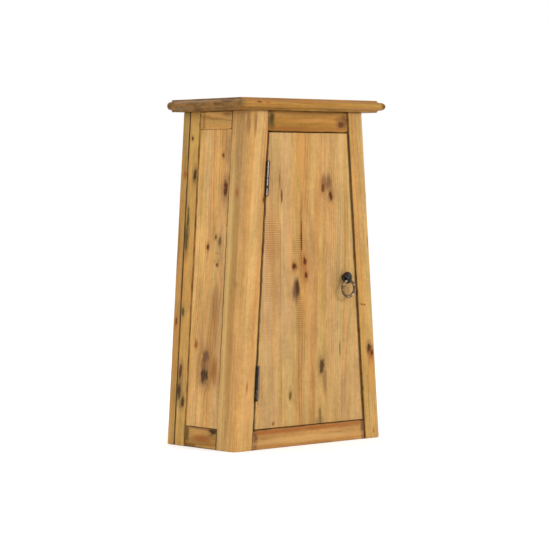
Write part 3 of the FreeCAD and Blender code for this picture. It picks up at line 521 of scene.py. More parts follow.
def pine_material(name, pine):
    """The waxed pine of one board."""
    palette = finish()
    material, n, shader = new_material(name)
    x, y, z = n.split(n.add("TexCoord").outputs["Object"])
    square = (n.math("MULTIPLY_ADD", z, pine.side * LEAN, x) if pine.side else x, y, z)
    vector = start = n.join(*turned(square, pine.order))
    marks = []
    for centre, reach, core, halo, strength in pine.knots:
        parts = n.group("Knot", Vector=vector, Centre=centre, Reach=reach)
        vector = parts["Vector"]
        marks.append((parts, core, halo, strength))
    tone = [pine.tone * part for part in pine.tint]
    grain = n.group("Pine Grain", Vector=vector, Seed=pine.seed * 0.37 + 0.11,
                    Heart=pine.heart[0] * MM, Depth=pine.heart[1] * MM,
                    Ring_Width=pine.ring * MM,
                    Pale=(*scaled(palette.honey, *tone), 1),
                    Warm=(*scaled(palette.amber, *tone), 1),
                    Line=(*scaled(palette.grain, *tone), 1),
                    Grey=(*scaled(palette.olive, *tone), 1),
                    Contrast=pine.contrast, Streaks=pine.warm, Weathering=pine.weather)
    color = grain["Color"]
    height = grain["Height"]
    for centre, reach, pitch, strength in pine.saws:
        saw = n.group("Saw Marks", Vector=start, Centre=centre, Reach=reach, Pitch=pitch)
        color = n.mix(n.math("MULTIPLY", saw["Mask"], strength), color, palette.grain)
        height = n.math("MULTIPLY_ADD", saw["Mask"], -1.2, height)
    for centre, reach, colour_name, strength in pine.stains:
        stain = n.group("Stain", Vector=start, Centre=centre, Reach=reach)
        color = n.mix(n.math("MULTIPLY", stain["Mask"], strength), color,
                      getattr(palette, colour_name))
    for centre, reach, strength in pine.holes:
        holes = n.group("Pin Holes", Vector=start, Centre=centre, Reach=reach)
        color = n.mix(n.math("MULTIPLY", holes["Mask"], strength), color, palette.knot)
        height = n.math("MULTIPLY_ADD", holes["Mask"], -2, height)
    for parts, core, halo, strength in marks:
        color = n.mix(n.math("MULTIPLY", parts["Halo"], strength * 0.5), color,
                      getattr(palette, halo))
        color = n.mix(n.math("MULTIPLY", parts["Core"], strength), color,
                      getattr(palette, core))
        height = n.math("MULTIPLY_ADD", parts["Core"], -1, height)
    edge = n.add("Attribute", attribute_name="worn_edge").outputs["Fac"]
    wear = n.group("Edge Wear", Vector=start, Edge=edge)
    color = n.mix(n.math("MULTIPLY", wear["Rubbed"], 0.4), color,
                  scaled(palette.honey, *[1.12 * part for part in tone]))
    color = n.mix(n.math("MULTIPLY", wear["Dirty"], 0.55), color, palette.grain)
    # Painted shade: the board darkens towards soot along the edges that meet other boards, broken up by a
    # smear.
    painted_shade = n.add("Attribute", attribute_name="joint_painted_shade").outputs["Fac"]
    smear = n.noise(start, (160, 160, 35), 3, 0.65)
    painted_shade = n.ramp(n.math("MULTIPLY_ADD", n.math("SUBTRACT", smear, 0.5), 0.9, painted_shade), 0.1, 0.9)
    color = n.mix(n.math("MULTIPLY", painted_shade, 0.9), color, palette.soot_and_shade)
    n.feed(shader.inputs["Base Color"], color)
    n.feed(shader.inputs["Roughness"], grain["Roughness"])
    shader.inputs["Specular IOR Level"].default_value = palette.sheen
    bumped(n, shader, height, palette.grain_depth, 0.4 * MM)
    return material


def metal_material(name, dark, worn, rust, scale=900, wear=0.6, metallic=0.85, depth=0.12,
                   painted_highlight_strips=()):
    """Iron or steel with a worn, slightly hammered skin. Each painted highlight strip lightens
    the skin above or below a height, where it faces one way: (height, above, facing, strength)."""
    material, n, shader = new_material(name)
    coords = n.add("TexCoord")
    place = coords.outputs["Object"]
    # Painted highlights: the dark colour is lightened towards the worn colour in a narrow strip where the
    # skin faces one way.
    for height, above, facing, strength in painted_highlight_strips:
        level = n.ramp(n.split(place)[2], height - 0.01 * above, height + 0.01 * above)
        toward = n.vector("DOT_PRODUCT", coords.outputs["Normal"], facing)
        painted_highlight = n.math("MULTIPLY", level, n.ramp(toward, 0.92, 0.985))
        painted_highlight = n.math("MULTIPLY", painted_highlight, n.ramp(n.noise(place, (90, 90, 90), 3), 0.36, 0.5))
        dark = n.mix(n.math("MULTIPLY", painted_highlight, strength), dark, worn)
    skin = n.group("Metal Skin", Vector=place, Scale=scale, Dark=(*dark, 1) if
                   isinstance(dark, tuple) else dark, Worn=(*worn, 1), Rust=(*rust, 1),
                   Wear=wear)
    n.feed(shader.inputs["Base Color"], skin["Color"])
    n.feed(shader.inputs["Roughness"], skin["Roughness"])
    shader.inputs["Metallic"].default_value = metallic
    bumped(n, shader, skin["Height"], 0.6, depth * MM)
    return material


# ---------------------------------------------------------------- board shapes

def finished(name, mesh, material, body, slot_name, *nodes):
    """An object for a piece, which takes the place of CAD nodes and rides on a body."""
    piece = bpy.data.objects.new(name, mesh)
    bpy.context.scene.collection.objects.link(piece)
    piece.data.materials.clear()
    piece.data.materials.append(material)
    mesh.shade_smooth()
    mesh.set_sharp_from_angle(angle=math.radians(38))
    if nodes:
        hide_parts(*nodes)
    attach(piece, body)
    return piece


def skin(name, loops):
    """A closed skin over matching closed loops of (place, edge wear, painted joint shade)."""
    bm = bmesh.new()
    worn = bm.verts.layers.float.new("worn_edge")
    shade_layer = bm.verts.layers.float.new("joint_painted_shade")
    rows = []
    for loop in loops:
        row = []
        for place, edge, painted_shade in loop:
            vert = bm.verts.new(place)
            vert[worn] = edge
            vert[shade_layer] = painted_shade
            row.append(vert)
        rows.append(row)
    count = len(rows[0])
    for first, second in zip(rows, rows[1:]):
        for index in range(count):
            after = (index + 1) % count
            bm.faces.new((first[index], first[after], second[after], second[index]))
    bm.faces.new(rows[0])
    bm.faces.new(rows[-1])
    bmesh.ops.recalc_face_normals(bm, faces=bm.faces)
    mesh = bpy.data.meshes.new(name)
    bm.to_mesh(mesh)
    bm.free()
    return mesh


def wobble(place, frequency, seed):
    """Smooth noise from about -0.7 to 0.7 that is the same on every run."""
    return noise.noise(Vector(place) * frequency + Vector((seed * 7.13, seed * 3.7, seed)))


def worn_radius(radius, place, corner, seed, limit):
    """A corner's radius at one place: uneven, with a chip here and there."""
    wear = sizes().wear
    slow = wobble(place, 14, seed + corner * 5.3)
    quick = wobble(place, 60, seed + corner * 2.9 + 50)
    chip = max(0, quick - 0.38) * 6
    return min(limit, radius * (1 + wear * (0.6 * slow + chip)))


def rounded_loop(corners, radii, shrink, seed, painted_shade, band):
    """A four-sided section with its own radius at each corner. Each corner's painted shade fades out over a
    band.
    """
    middle = sum(corners, Vector()) / 4
    loop = []
    for index in range(4):
        corner = corners[index]
        back = corners[index - 1] - corner
        ahead = corners[(index + 1) % 4] - corner
        limit = 0.45 * min(back.length, ahead.length)
        back.normalize()
        ahead.normalize()
        radius, steps = radii[index]
        if steps < 8:
            radius = worn_radius(radius, corner, index, seed, limit)
        radius = max(0.15 * MM, radius - shrink)
        corner = corner + (back + ahead) * shrink
        flat = min(band, 0.3 * limit)
        loop.append((corner + back * (radius + flat), 0, 0))
        for step in range(steps + 1):
            angle = math.pi / 2 * step / steps
            place = corner + back * radius * (1 - math.sin(angle))
            place += ahead * radius * (1 - math.cos(angle))
            loop.append((place, 1 if steps < 8 else 0.2, painted_shade[index]))
        loop.append((corner + ahead * (radius + flat), 0, 0))
    return loop


def board_mesh(name, start, end, radii, seed=0, ease=None, painted_shade=(0, 0, 0, 0), end_painted_shade=0,
               band=2.6 * MM):
    """A board between two four-cornered ends, with worn long edges and eased ends."""
    setting = sizes()
    ease = setting.arris if ease is None else ease
    along = sum(end, Vector()) / 4 - sum(start, Vector()) / 4
    span = along.length
    cuts = [(0, ease), (0.3 * ease, 0.3 * ease), (ease, 0)]
    steps = max(2, round((span - 2 * ease) / setting.station))
    for step in range(1, steps):
        cuts.append((ease + (span - 2 * ease) * step / steps, 0))
    cuts += [(span - ease, 0), (span - 0.3 * ease, 0.3 * ease), (span, ease)]
    full = []
    for item in radii:
        full.append(item if isinstance(item, tuple) else (item, 4))
    loops = []
    for distance, shrink in cuts:
        share_along = distance / span
        corners = [a.lerp(b, share_along) for a, b in zip(start, end)]
        # Painted shade is strongest on every corner near the board's ends, where it meets the next board.
        tail = end_painted_shade if min(distance, span - distance) < 2 * ease else 0
        here = [max(value, tail) for value in painted_shade]
        loops.append(rounded_loop(corners, full, shrink, seed, here, band))
    return skin(name, loops)


def upright_ends(side, outer, inner, back, front, foot, top):
    """The foot and top of an upright between two insets from a leaning side.
    Corners run outer front, inner front, inner back, outer back."""
    ends = []
    for z in (foot, top):
        far = side * (half_width(z) - outer)
        near = side * (half_width(z) - inner)
        ends.append([Vector((far, front, z)), Vector((near, front, z)),
                     Vector((near, back, z)), Vector((far, back, z))])
    return ends


def plain_ends(xs, back, front, foot, top):
    """The foot and top of an upright whose x range is given at each end."""
    ends = []
    for (left, right), z in zip(xs, (foot, top)):
        ends.append([Vector((left, front, z)), Vector((right, front, z)),
                     Vector((right, back, z)), Vector((left, back, z))])
    return ends


def rail_ends(inset, back, front, foot, top):
    """The left and right ends of a rail between two leaning posts.
    Corners run front foot, back foot, back top, front top."""
    ends = []
    for side in (-1, 1):
        lower = side * (half_width(foot) - inset)
        upper = side * (half_width(top) - inset)
        ends.append([Vector((lower, front, foot)), Vector((lower, back, foot)),
                     Vector((upper, back, top)), Vector((upper, front, top))])
    return ends


def side_rail_ends(side, outer, inner, back, front, foot, top):
    """The front and back ends of a rail that runs from front to back.
    Corners run outer foot, inner foot, inner top, outer top."""
    ends = []
    for y in (front, back):
        ends.append([Vector((side * (half_width(foot) - outer), y, foot)),
                     Vector((side * (half_width(foot) - inner), y, foot)),
                     Vector((side * (half_width(top) - inner), y, top)),
                     Vector((side * (half_width(top) - outer), y, top))])
    return ends


def eased_copy(node, material, body, slot_name, width=0.7 * MM):
    """A copy of a CAD board with its long edges eased."""
    bm = bmesh.new()
    bm.from_mesh(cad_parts[node].data)
    bmesh.ops.remove_doubles(bm, verts=bm.verts, dist=0.005 * MM)
    bmesh.ops.dissolve_limit(bm, angle_limit=math.radians(1), verts=bm.verts, edges=bm.edges)
    edges = []
    for edge in bm.edges:
        if len(edge.link_faces) == 2 and edge.calc_length() > 9 * MM:
            if edge.calc_face_angle(0) > math.radians(40) and edge.is_convex:
                edges.append(edge)
    bmesh.ops.bevel(bm, geom=edges, offset=width, segments=2, profile=0.6,
                    affect="EDGES", clamp_overlap=True)
    mesh = bpy.data.meshes.new(node)
    bm.to_mesh(mesh)
    bm.free()
    return finished("Eased_" + node, mesh, material, body, slot_name, node)


def repaint(node, material):
    """A new finish for a CAD node that keeps its shape."""
    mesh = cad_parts[node].data
    if not mesh.materials:
        mesh.materials.append(material)
    for index in range(len(mesh.materials)):
        mesh.materials[index] = material


# ---------------------------------------------------------------- the pieces

class CABINET_OT_groups(bpy.types.Operator):
    """Makes the shader groups that the finishes share"""
    bl_idname = "cabinet.groups"
    bl_label = "Shared Finishes"

    def execute(self, context):
        make_grain_group()
        make_knot_group()
        make_stain_group()
        make_pin_hole_group()
        make_saw_group()
        make_wear_group()
        make_metal_group()
        make_end_grain_group()
        return {"FINISHED"}


class CABINET_OT_slab(bpy.types.Operator):
    """Makes the thick top board with its coved and nosed edge"""
    bl_idname = "cabinet.slab"
    bl_label = "Top Slab"

    def execute(self, context):
        setting = sizes()
        lo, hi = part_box("top_board")
        cove = (hi.z - lo.z) / 2 - setting.nose
        tuck = setting.nose + setting.shoulder
        middle = (lo.z + hi.z) / 2
        # The third value of each level is painted shade: darkest where the lower cove meets the body, fainter
        # up the coves, none on the nose.
        profile = [(tuck + cove, lo.z, 0.6)]
        for step in range(1, 6):
            angle = math.pi / 2 * step / 5
            profile.append((tuck + cove * math.cos(angle), lo.z + cove * math.sin(angle), 0.3))
        for step in range(15):
            angle = math.pi * step / 14
            profile.append((setting.nose * (1 - math.sin(angle)),
                            middle - setting.nose * math.cos(angle), 0))
        for step in range(5, 0, -1):
            angle = math.pi / 2 * step / 5
            profile.append((tuck + cove * math.cos(angle), hi.z - cove * math.sin(angle), 0.2))
        profile.append((tuck + cove + 0.2 * MM, hi.z - 0.4 * MM, 0))
        profile.append((tuck + cove + 1.4 * MM, hi.z, 0))
        loops = []
        for inset, z, painted_shade in profile:
            loops.append(self.outline(lo, hi, inset, z, painted_shade))
        mesh = skin("Slab", loops)
        pine = Pine("slab", seed=3, heart=(-30, 40), ring=2.8, tone=0.69, warm=0.9,
                    contrast=0.9, weather=0.45, tint=(1, 0.86, 0.55))
        pine.stain((-60, 222, 698), (170, 9, 6), "grain", 0.6)
        pine.stain((120, 224, 697), (110, 9, 7), "grain", 0.7)
        pine.stain((60, 229, 681), (150, 8, 4), "olive", 0.3)
        pine.knot((-150, 228, 691), (7, 6, 2.4), "knot", "rust", 0.8)
        pine.knot((-128, 228, 690), (5, 6, 2), "rust", "rust", 0.8)
        piece = finished("Slab", mesh, slab_material(pine, lo, hi), "cabinet", "top_wood",
                         "top_board")
        return {"FINISHED"}

    def outline(self, lo, hi, inset, z, painted_shade):
        """The slab's outline at one level of its edge, its front corners softened."""
        step = sizes().station
        left, right, front, back = lo.x + inset, hi.x - inset, lo.y + inset, hi.y
        corners = [Vector((left, back, z)), Vector((left, front, z)),
                   Vector((right, front, z)), Vector((right, back, z))]
        loop = []
        for first, second in zip(corners, corners[1:] + corners[:1]):
            count = max(2, round((lo - hi).length / step / 2))
            for index in range(count):
                place = first.lerp(second, index / count)
                if index == 0 and place.y < 0:
                    place += Vector((1.2 * MM if place.x < 0 else -1.2 * MM, 1.2 * MM, 0))
                dent = max(0, wobble(place, 9, 4)) * 0.5 * MM
                dent += max(0, wobble(place, 45, 8) - 0.35) * 3 * MM
                pull = Vector((-place.x, -place.y, 0)).normalized() * dent
                if place.y > hi.y - 1 * MM:
                    pull = Vector()
                loop.append((place + pull, 0, painted_shade))
        return loop


def slab_material(pine, lo, hi):
    """The slab's pine, with end grain on its two short edges."""
    palette = finish()
    material = pine_material("Slab_Pine", pine)
    n = Nodes(material.node_tree)
    shader = next(node for node in n.tree.nodes if node.type == "BSDF_PRINCIPLED")
    long_grain = shader.inputs["Base Color"].links[0].from_socket
    coords = n.add("TexCoord")
    x, y, z = n.split(coords.outputs["Object"])
    facing = n.math("ABSOLUTE", n.split(coords.outputs["Normal"])[0])
    reach = n.math("DIVIDE", n.math("ABSOLUTE", x), hi.x)
    ends = n.math("MULTIPLY", n.ramp(facing, 0.02, 0.1), n.ramp(reach, 0.925, 0.935))
    end = n.group("End Grain", Vector=n.join(y, n.math("SUBTRACT", z, lo.z), x),
                  Pale=(*scaled(palette.honey, 0.5, 0.38, 0.26), 1),
                  Dark=(*scaled(palette.grain, 0.46, 0.41, 0.3), 1),
                  Grey=(*scaled(palette.olive, 0.55, 0.5, 0.42), 1))
    n.feed(shader.inputs["Base Color"], n.mix(ends, long_grain, end["Color"]))
    return material


class CABINET_OT_posts(bpy.types.Operator):
    """Makes the four leaning corner posts"""
    bl_idname = "cabinet.posts"
    bl_label = "Corner Posts"

    def execute(self, context):
        setting = sizes()
        arris = setting.arris
        finishes = post_finishes()
        for side, word in ((-1, "left"), (1, "right")):
            node = "front_post_" + word
            lo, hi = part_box(node)
            leaf_proud = 0.06 * MM if word == "left" else 0
            ends = upright_ends(side, 0, POST_FACE - leaf_proud, hi.y, lo.y, 0, BODY_TOP)
            # Painted shade darkens the front post's corners beside the door gap and the side panel.
            mesh = board_mesh(node, *ends, ((setting.outer_round, 10), arris, 0.4 * MM,
                                            setting.joint_arris),
                              seed=side + 2, painted_shade=(0, 0.8, 0.4, 0.6))
            finished("Front_Post_" + word, mesh, pine_material("Pine_" + node, finishes[node]),
                     "cabinet", "frame_wood", node)
            node = "rear_post_" + word
            lo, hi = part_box(node)
            ends = upright_ends(side, 0, POST_FACE, hi.y, lo.y, 0, BODY_TOP)
            joint = setting.joint_arris
            # Painted shade darkens the rear post's corners beside the side panel and the back.
            mesh = board_mesh(node, *ends, (joint * 1.6, 0.4 * MM, 0.4 * MM, joint * 1.6),
                              seed=side + 6, painted_shade=(0.6, 0, 0, 1))
            finished("Rear_Post_" + word, mesh, pine_material("Pine_" + node, finishes[node]),
                     "cabinet", "frame_wood", node)
        return {"FINISHED"}


def post_finishes():
    """The knots and colour of each post."""
    front_left = Pine("upright", -1, 11, (-205, 30), 3.4, 0.95, 0.7, 0.6, 0.25, (1, 0.98, 0.96))
    front_left.knot((-123, 208, 497), (3, 5, 6)).knot((-118, 208, 509), (3, 5, 6), "knot", "grain")
    front_left.knot((-168.6, 208, 126), (2, 4, 9), "rust", "rust", 0.6)
    front_left.knot((-166.7, 179, 513), (6, 5, 9), "rust", "rust", 0.6)
    front_left.stain((-143, 208, 650), (5, 8, 34), "plum", 0.7)
    front_left.stain((-154, 200, 648), (4, 9, 30), "plum", 0.6)
    front_left.stain((-203 + LEAN * 300, 180, 300), (5, 12, 420), "grain", 0.42)
    front_left.stain((-203 + LEAN * 300, 164.5, 300), (5, 4.5, 420), "honey", 0.8)
    front_left.stain((-157, 208, 520), (5, 10, 120), "amber", 0.5)
    front_left.knot((-205 + LEAN * 300, 190, 330), (5, 4, 7), "rust", "grain", 0.5)
    front_left.stain((-150, 208, 120), (14, 10, 170), "honey", 0.35)
    front_right = Pine("upright", 1, 17, (240, 20), 3.0, 0.88, 0.8, 0.65, 0.2, (1, 0.99, 0.94))
    front_right.knot((163, 208, 505), (4, 5, 6)).knot((164, 208, 409), (2, 4, 11), "rust", "rust", 0.7)
    front_right.knot((146.3, 208, 280), (4, 4, 1.6), "knot", "grain", 0.8)
    front_right.knot((154, 208, 278.5), (3.4, 4, 1.6), "knot", "grain", 0.8)
    front_right.knot((167.5, 208, 188), (6, 5, 11), "soot_and_shade", "knot", 1)
    front_right.knot((174, 208, 178), (5, 5, 9), "knot", "rust", 1)
    front_right.stain((172, 208, 163), (9, 6, 26), "rust", 0.8)
    front_right.stain((174, 208, 130), (7, 6, 60), "amber", 0.8)
    front_right.knot((179.5, 208, 16), (2, 4, 5), "rust", "rust", 0.7)
    rear_left = Pine("side upright", -1, 23, (60, 40), 3.6, 0.97, 0.6, 0.8, 0.7, (1, 0.93, 0.7))
    for out, z, size, tall, core, halo in (
            (32.5, 621.6, 3.6, 5, "knot", "grain"), (45.4, 546.7, 6, 13, "soot_and_shade", "moss"),
            (30, 460.5, 4.5, 26, "moss", "olive"), (28, 416, 5.5, 24, "moss", "moss"),
            (29.1, 269.8, 6, 12, "moss", "olive"), (30.9, 150.3, 6, 17, "knot", "plum"),
            (28.1, 109.6, 8, 20, "soot_and_shade", "moss"), (40, 88, 6, 12, "soot_and_shade", "moss")):
        rear_left.knot((-FOOT_HALF / MM + LEAN * z, out, z), (12, size, tall), core, halo)
    rear_right = Pine("side upright", 1, 29, (60, 40), 3.3, 0.92, 0.7, 0.7, 0.4)
    for out, z, size, tall in ((40, 560, 5, 9), (30, 330, 4, 8), (44, 120, 6, 11)):
        rear_right.knot((FOOT_HALF / MM - LEAN * z, out, z), (12, size, tall))
    return {"front_post_left": front_left, "front_post_right": front_right,
            "rear_post_left": rear_left, "rear_post_right": rear_right}


class CABINET_OT_sides(bpy.types.Operator):
    """Makes the rails and panel of each side"""
    bl_idname = "cabinet.sides"
    bl_label = "Side Rails and Panels"

    def execute(self, context):
        setting = sizes()
        finishes = side_finishes()
        for side, word in ((-1, "left"), (1, "right")):
            back = low("rear_post_" + word).y
            front = high("front_post_" + word).y
            levels = {"bottom": (0, high("side_bottom_rail_" + word).z),
                      "top": (low("side_top_rail_" + word).z, BODY_TOP)}
            for level, (foot, top) in levels.items():
                node = "side_%s_rail_%s" % (level, word)
                outer, inner = left_insets("side_%s_rail_left" % level)
                ends = side_rail_ends(side, outer, inner, back, front, foot, top)
                arris = setting.joint_arris
                # Painted shade darkens the rail's corners and its ends, where it meets the posts and the
                # panel.
                mesh = board_mesh(node, *ends, (arris, 0.4 * MM, 0.4 * MM, arris),
                                  seed=side + 9, painted_shade=(0.6, 0, 0, 0.8), end_painted_shade=1)
                finished("Side_%s_Rail_%s" % (level, word), mesh,
                         pine_material("Pine_" + node, finishes[node]),
                         "cabinet", "rail_wood", node)
            node = "side_panel_" + word
            lo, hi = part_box("side_panel_left")
            outer, inner = left_insets("side_panel_left")
            ends = upright_ends(side, outer, inner, back, front, lo.z, hi.z)
            # Painted shade darkens the panel's front corner and its ends, where it meets the posts and the
            # rails.
            mesh = board_mesh(node, *ends, (0.5 * MM, 0.4 * MM, 0.4 * MM, 0.5 * MM),
                              seed=side + 13, painted_shade=(1, 0, 0, 0.7), end_painted_shade=0.7,
                              band=6.5 * MM)
            finished("Side_Panel_" + word, mesh,
                     pine_material("Pine_" + node, finishes[node]), "cabinet", "frame_wood",
                     node)
        return {"FINISHED"}


def side_finishes():
    """The knots and colour of the side rails and panels."""
    def face(side, z):
        return side * (FOOT_HALF / MM - LEAN * z)

    panel = Pine("side upright", -1, 31, (-75, 30), 3.8, 1.14, 0.85, 0.8, 0.4, (1, 1, 1))
    for out, z, wide, tall, core, halo, strength in (
            (129, 587, 4, 5, "knot", "grain", 0.8), (140.4, 520, 7.5, 19, "knot", "plum", 0.95),
            (94.7, 403, 4.6, 7, "knot", "grain", 0.95), (117.7, 423, 3.4, 5, "knot", "grain", 0.8),
            (131, 414, 6, 10, "plum", "olive", 0.9), (126, 368, 3.6, 4.5, "knot", "grain", 0.8),
            (73, 207, 5, 9, "rust", "rust", 0.95), (105.5, 183, 12, 15, "plum", "grain", 1),
            (102.9, 144, 13, 17, "soot_and_shade", "plum", 0.9)):
        panel.knot((face(-1, z), out, z), (12, wide, tall), core, halo, strength)
    panel.stain((face(-1, 154), 133, 156), (9, 12, 38), "rust", 0.85)
    panel.stain((face(-1, 165), 100, 165), (9, 10, 20), "knot", 0.75)
    panel.stain((face(-1, 280), 128, 280), (9, 15, 90), "plum", 0.5)
    panel.stain((face(-1, 245), 150, 300), (9, 5, 120), "amber", 0.4)
    panel.stain((face(-1, 610), 142, 600), (9, 14, 34), "plum", 0.35)
    panel.stain((face(-1, 400), 132, 400), (9, 16, 60), "olive", 0.5)
    panel.stain((face(-1, 200), 128, 200), (9, 60, 190), "grain", 0.38)
    # Painted shade: a thin dark strip down the panel's front edge, beside the front post.
    panel.stain((face(-1, 360), 150.8, 360), (9, 2, 400), "soot_and_shade", 0.85)
    panel.pin_holes((face(-1, 500), 149, 500), (9, 6, 90))
    panel.pin_holes((face(-1, 400), 120, 405), (9, 20, 60), 0.6)
    panel.pin_holes((face(-1, 588), 148, 588), (9, 10, 14), 0.6)
    far = Pine("side upright", 1, 37, (20, 35), 3.6, 0.97, 0.85, 0.7, 0.3)
    for out, z, wide, tall in ((90, 560, 6, 9), (125, 420, 4, 7), (75, 250, 7, 12), (112, 96, 5, 8)):
        far.knot((face(1, z), out, z), (12, wide, tall), "knot", "rust", 0.9)
    finishes = {"side_panel_left": panel, "side_panel_right": far}
    for side, word in ((-1, "left"), (1, "right")):
        top = Pine("side rail", side, 41 + side, (640, 60), 4.2, 1.15, 0.8, 0.7, 0.5, (1, 1, 0.9))
        top.stain((face(side, 655), 138, 670), (9, 22, 9), "plum", 0.5)
        top.stain((face(side, 655), 64, 655), (9, 6, 30), "grain", 0.6)
        # Painted shade: a thin dark strip at the rail's front end, beside the front post.
        top.stain((face(side, 655), 151.4, 650), (9, 2, 60), "soot_and_shade", 0.9)
        bottom = Pine("side rail", side, 47 + side, (2, 14), 4.4, 0.77, 1.0, 1.0, 0.35, (1, 0.95, 0.7))
        bottom.knot((face(side, 35), 139, 37), (12, 13, 9), "soot_and_shade", "moss", 0.95)
        bottom.stain((face(side, 30), 58, 26), (12, 9, 26), "moss", 0.85)
        bottom.stain((face(side, 42), 100, 41), (12, 60, 5), "plum", 0.7)
        bottom.stain((face(side, 10), 72, 3), (12, 26, 6), "knot", 0.6)
        bottom.stain((face(side, 22), 104, 20), (12, 38, 9), "rust", 0.75)
        # Painted shade: a thin dark strip at the rail's front end, beside the front post.
        bottom.stain((face(side, 22), 151.4, 20), (12, 2, 60), "soot_and_shade", 0.9)
        finishes["side_top_rail_" + word] = top
        finishes["side_bottom_rail_" + word] = bottom
    return finishes


class CABINET_OT_front_rails(bpy.types.Operator):
    """Makes the rails above and below the door"""
    bl_idname = "cabinet.front_rails"
    bl_label = "Front Rails"

    def execute(self, context):
        arris = sizes().joint_arris
        bottom = Pine("rail", 0, 53, (46, 12), 3.0, 0.77, 0.75, 0.6, 0.25, (1, 0.88, 0.8))
        bottom.stain((-10, 206, 35), (300, 6, 8), "rust", 0.75)
        bottom.stain((-146, 206, 20), (8, 6, 28), "plum", 0.9)
        bottom.stain((150, 206, 22), (7, 6, 24), "plum", 0.9)
        bottom.stain((-10, 206, 13), (220, 6, 8), "honey", 0.5)
        top = Pine("rail", 0, 59, (640, 20), 3.2, 0.635, 0.9, 0.8, 0.35, (1, 0.86, 0.55))
        top.knot((90, 206, 650), (9, 6, 8), "knot", "grain", 0.75)
        top.stain((92, 206, 654), (22, 6, 16), "plum", 0.8)
        top.stain((100, 206, 662), (10, 6, 24), "knot", 0.4)
        top.stain((-99, 206, 652), (12, 6, 30), "moss", 0.8)
        top.stain((-97, 206, 664), (7, 6, 20), "soot_and_shade", 0.6)
        top.stain((0, 206, 639), (190, 6, 8), "rust", 0.5)
        top.stain((10, 206, 671), (150, 6, 6), "grain", 0.65)
        top.stain((20, 206, 656), (80, 6, 6), "amber", 0.45)
        for level, pine in (("bottom", bottom), ("top", top)):
            node = "front_%s_rail" % level
            lo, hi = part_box(node)
            ends = rail_ends(POST_FACE, hi.y, lo.y, lo.z, hi.z)
            # Painted shade darkens the rail's corners and both its ends, where it meets the posts.
            mesh = board_mesh(node, *ends, (arris * 2, 0.4 * MM, 0.4 * MM, arris * 2),
                              seed=17, painted_shade=(0.4, 0, 0, 0.5), end_painted_shade=1)
            finished("Front_Rail_" + level, mesh, pine_material("Pine_" + node, pine),
                     "cabinet", "rail_wood", node)
        return {"FINISHED"}


class CABINET_OT_back(bpy.types.Operator):
    """Makes the framed back"""
    bl_idname = "cabinet.back"
    bl_label = "Framed Back"

    def execute(self, context):
        joint = sizes().joint_arris
        edge = (joint * 1.6, joint, joint * 1.6, sizes().arris)
        for side, word in ((-1, "left"), (1, "right")):
            node = "back_stile_" + word
            lo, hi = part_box(node)
            inner = FOOT_HALF - abs(slice_at(node, 0)[0 if side > 0 else 1])
            ends = upright_ends(side, 0, inner, hi.y, lo.y, 0, BODY_TOP)
            # Painted shade darkens the stile's corner where it meets the rear post.
            mesh = board_mesh(node, *ends, edge, seed=side + 21, painted_shade=(1, 0, 0, 0))
            pine = Pine("side upright", side, 61 + side, (120, 50), 3.0, 0.78, 0.8, 0.9, 0.6, (1, 0.95, 0.75))
            pine.knot((side * 164, 15, 550), (14, 5, 8), "rust", "rust", 0.8)
            pine.knot((side * 185, 9, 250), (14, 4, 9), "knot", "rust", 0.8)
            finished("Back_Stile_" + word, mesh, pine_material("Pine_" + node, pine),
                     "cabinet", "frame_wood", node)
        for level in ("bottom", "top"):
            node = "back_%s_rail" % level
            z = low(node).z / MM
            pine = Pine("rail", 0, 67 + len(level), (300, 40), 3.4, 0.8, 0.8, 0.8, 0.4)
            pine.knot((40 if level == "top" else -80, 2, z + 24), (9, 20, 6))
            eased_copy(node, pine_material("Pine_" + node, pine), "cabinet", "frame_wood",
                       0.8 * MM)
        for index, word in enumerate(("left", "middle", "right")):
            node = "back_board_" + word
            pine = Pine("upright", 0, 71 + index, (-90 + 95 * index, 45), 3.6, 0.82, 0.8,
                        0.8, 0.45)
            pine.knot((-100 + 98 * index, 7, 480 - 130 * index), (6, 12, 9))
            pine.knot((-88 + 92 * index, 7, 160 + 90 * index), (4, 12, 6), "knot", "rust")
            eased_copy(node, pine_material("Pine_" + node, pine), "cabinet", "inner_wood")
        return {"FINISHED"}


class CABINET_OT_door(bpy.types.Operator):
    """Makes the door from three glued boards, with its two ledges"""
    bl_idname = "cabinet.door"
    bl_label = "Door"

    def execute(self, context):
        setting = sizes()
        joint = 0.25 * MM
        leaf_proud = 0.06 * MM
        arris = setting.door_arris
        finishes = door_finishes()
        foot, top = low("door_board_left").z, high("door_board_left").z
        seam = high("door_board_middle").x
        ranges = {"left": [(slice_at("door_board_left", z)[0] + leaf_proud, -seam)
                           for z in (foot, top)],
                  "middle": [(-seam, seam), (-seam, seam)],
                  "right": [(seam, slice_at("door_board_right", z)[1]) for z in (foot, top)]}
        radii = {"left": (arris, joint, joint, arris), "middle": (joint,) * 4,
                 "right": (joint, arris, arris, joint)}
        # Painted shade along the edges of each door board that face the frame or the next board.
        painted_shade = {"left": (0.7, 0.15, 0, 0.5), "middle": (0.15, 0.15, 0, 0),
                "right": (0.15, 0.7, 0.5, 0)}
        for index, word in enumerate(("left", "middle", "right")):
            node = "door_board_" + word
            lo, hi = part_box(node)
            ends = plain_ends(ranges[word], hi.y, lo.y, foot, top)
            mesh = board_mesh(node, *ends, radii[word], seed=27 + index, painted_shade=painted_shade[word])
            finished("Door_Board_" + word, mesh, pine_material("Pine_" + node, finishes[word]),
                     "door", "door_wood", node)
        for level in ("lower", "upper"):
            node = "door_ledge_" + level
            z = (low(node).z + high(node).z) / 2 / MM
            pine = Pine("rail", 0, 81 + len(level), (z, 50), 3.2, 0.88, 0.7, 0.7, 0.3)
            pine.knot((-40, 180, z + 6), (9, 20, 6))
            eased_copy(node, pine_material("Pine_" + node, pine), "door", "door_wood", 1.5 * MM)
        return {"FINISHED"}


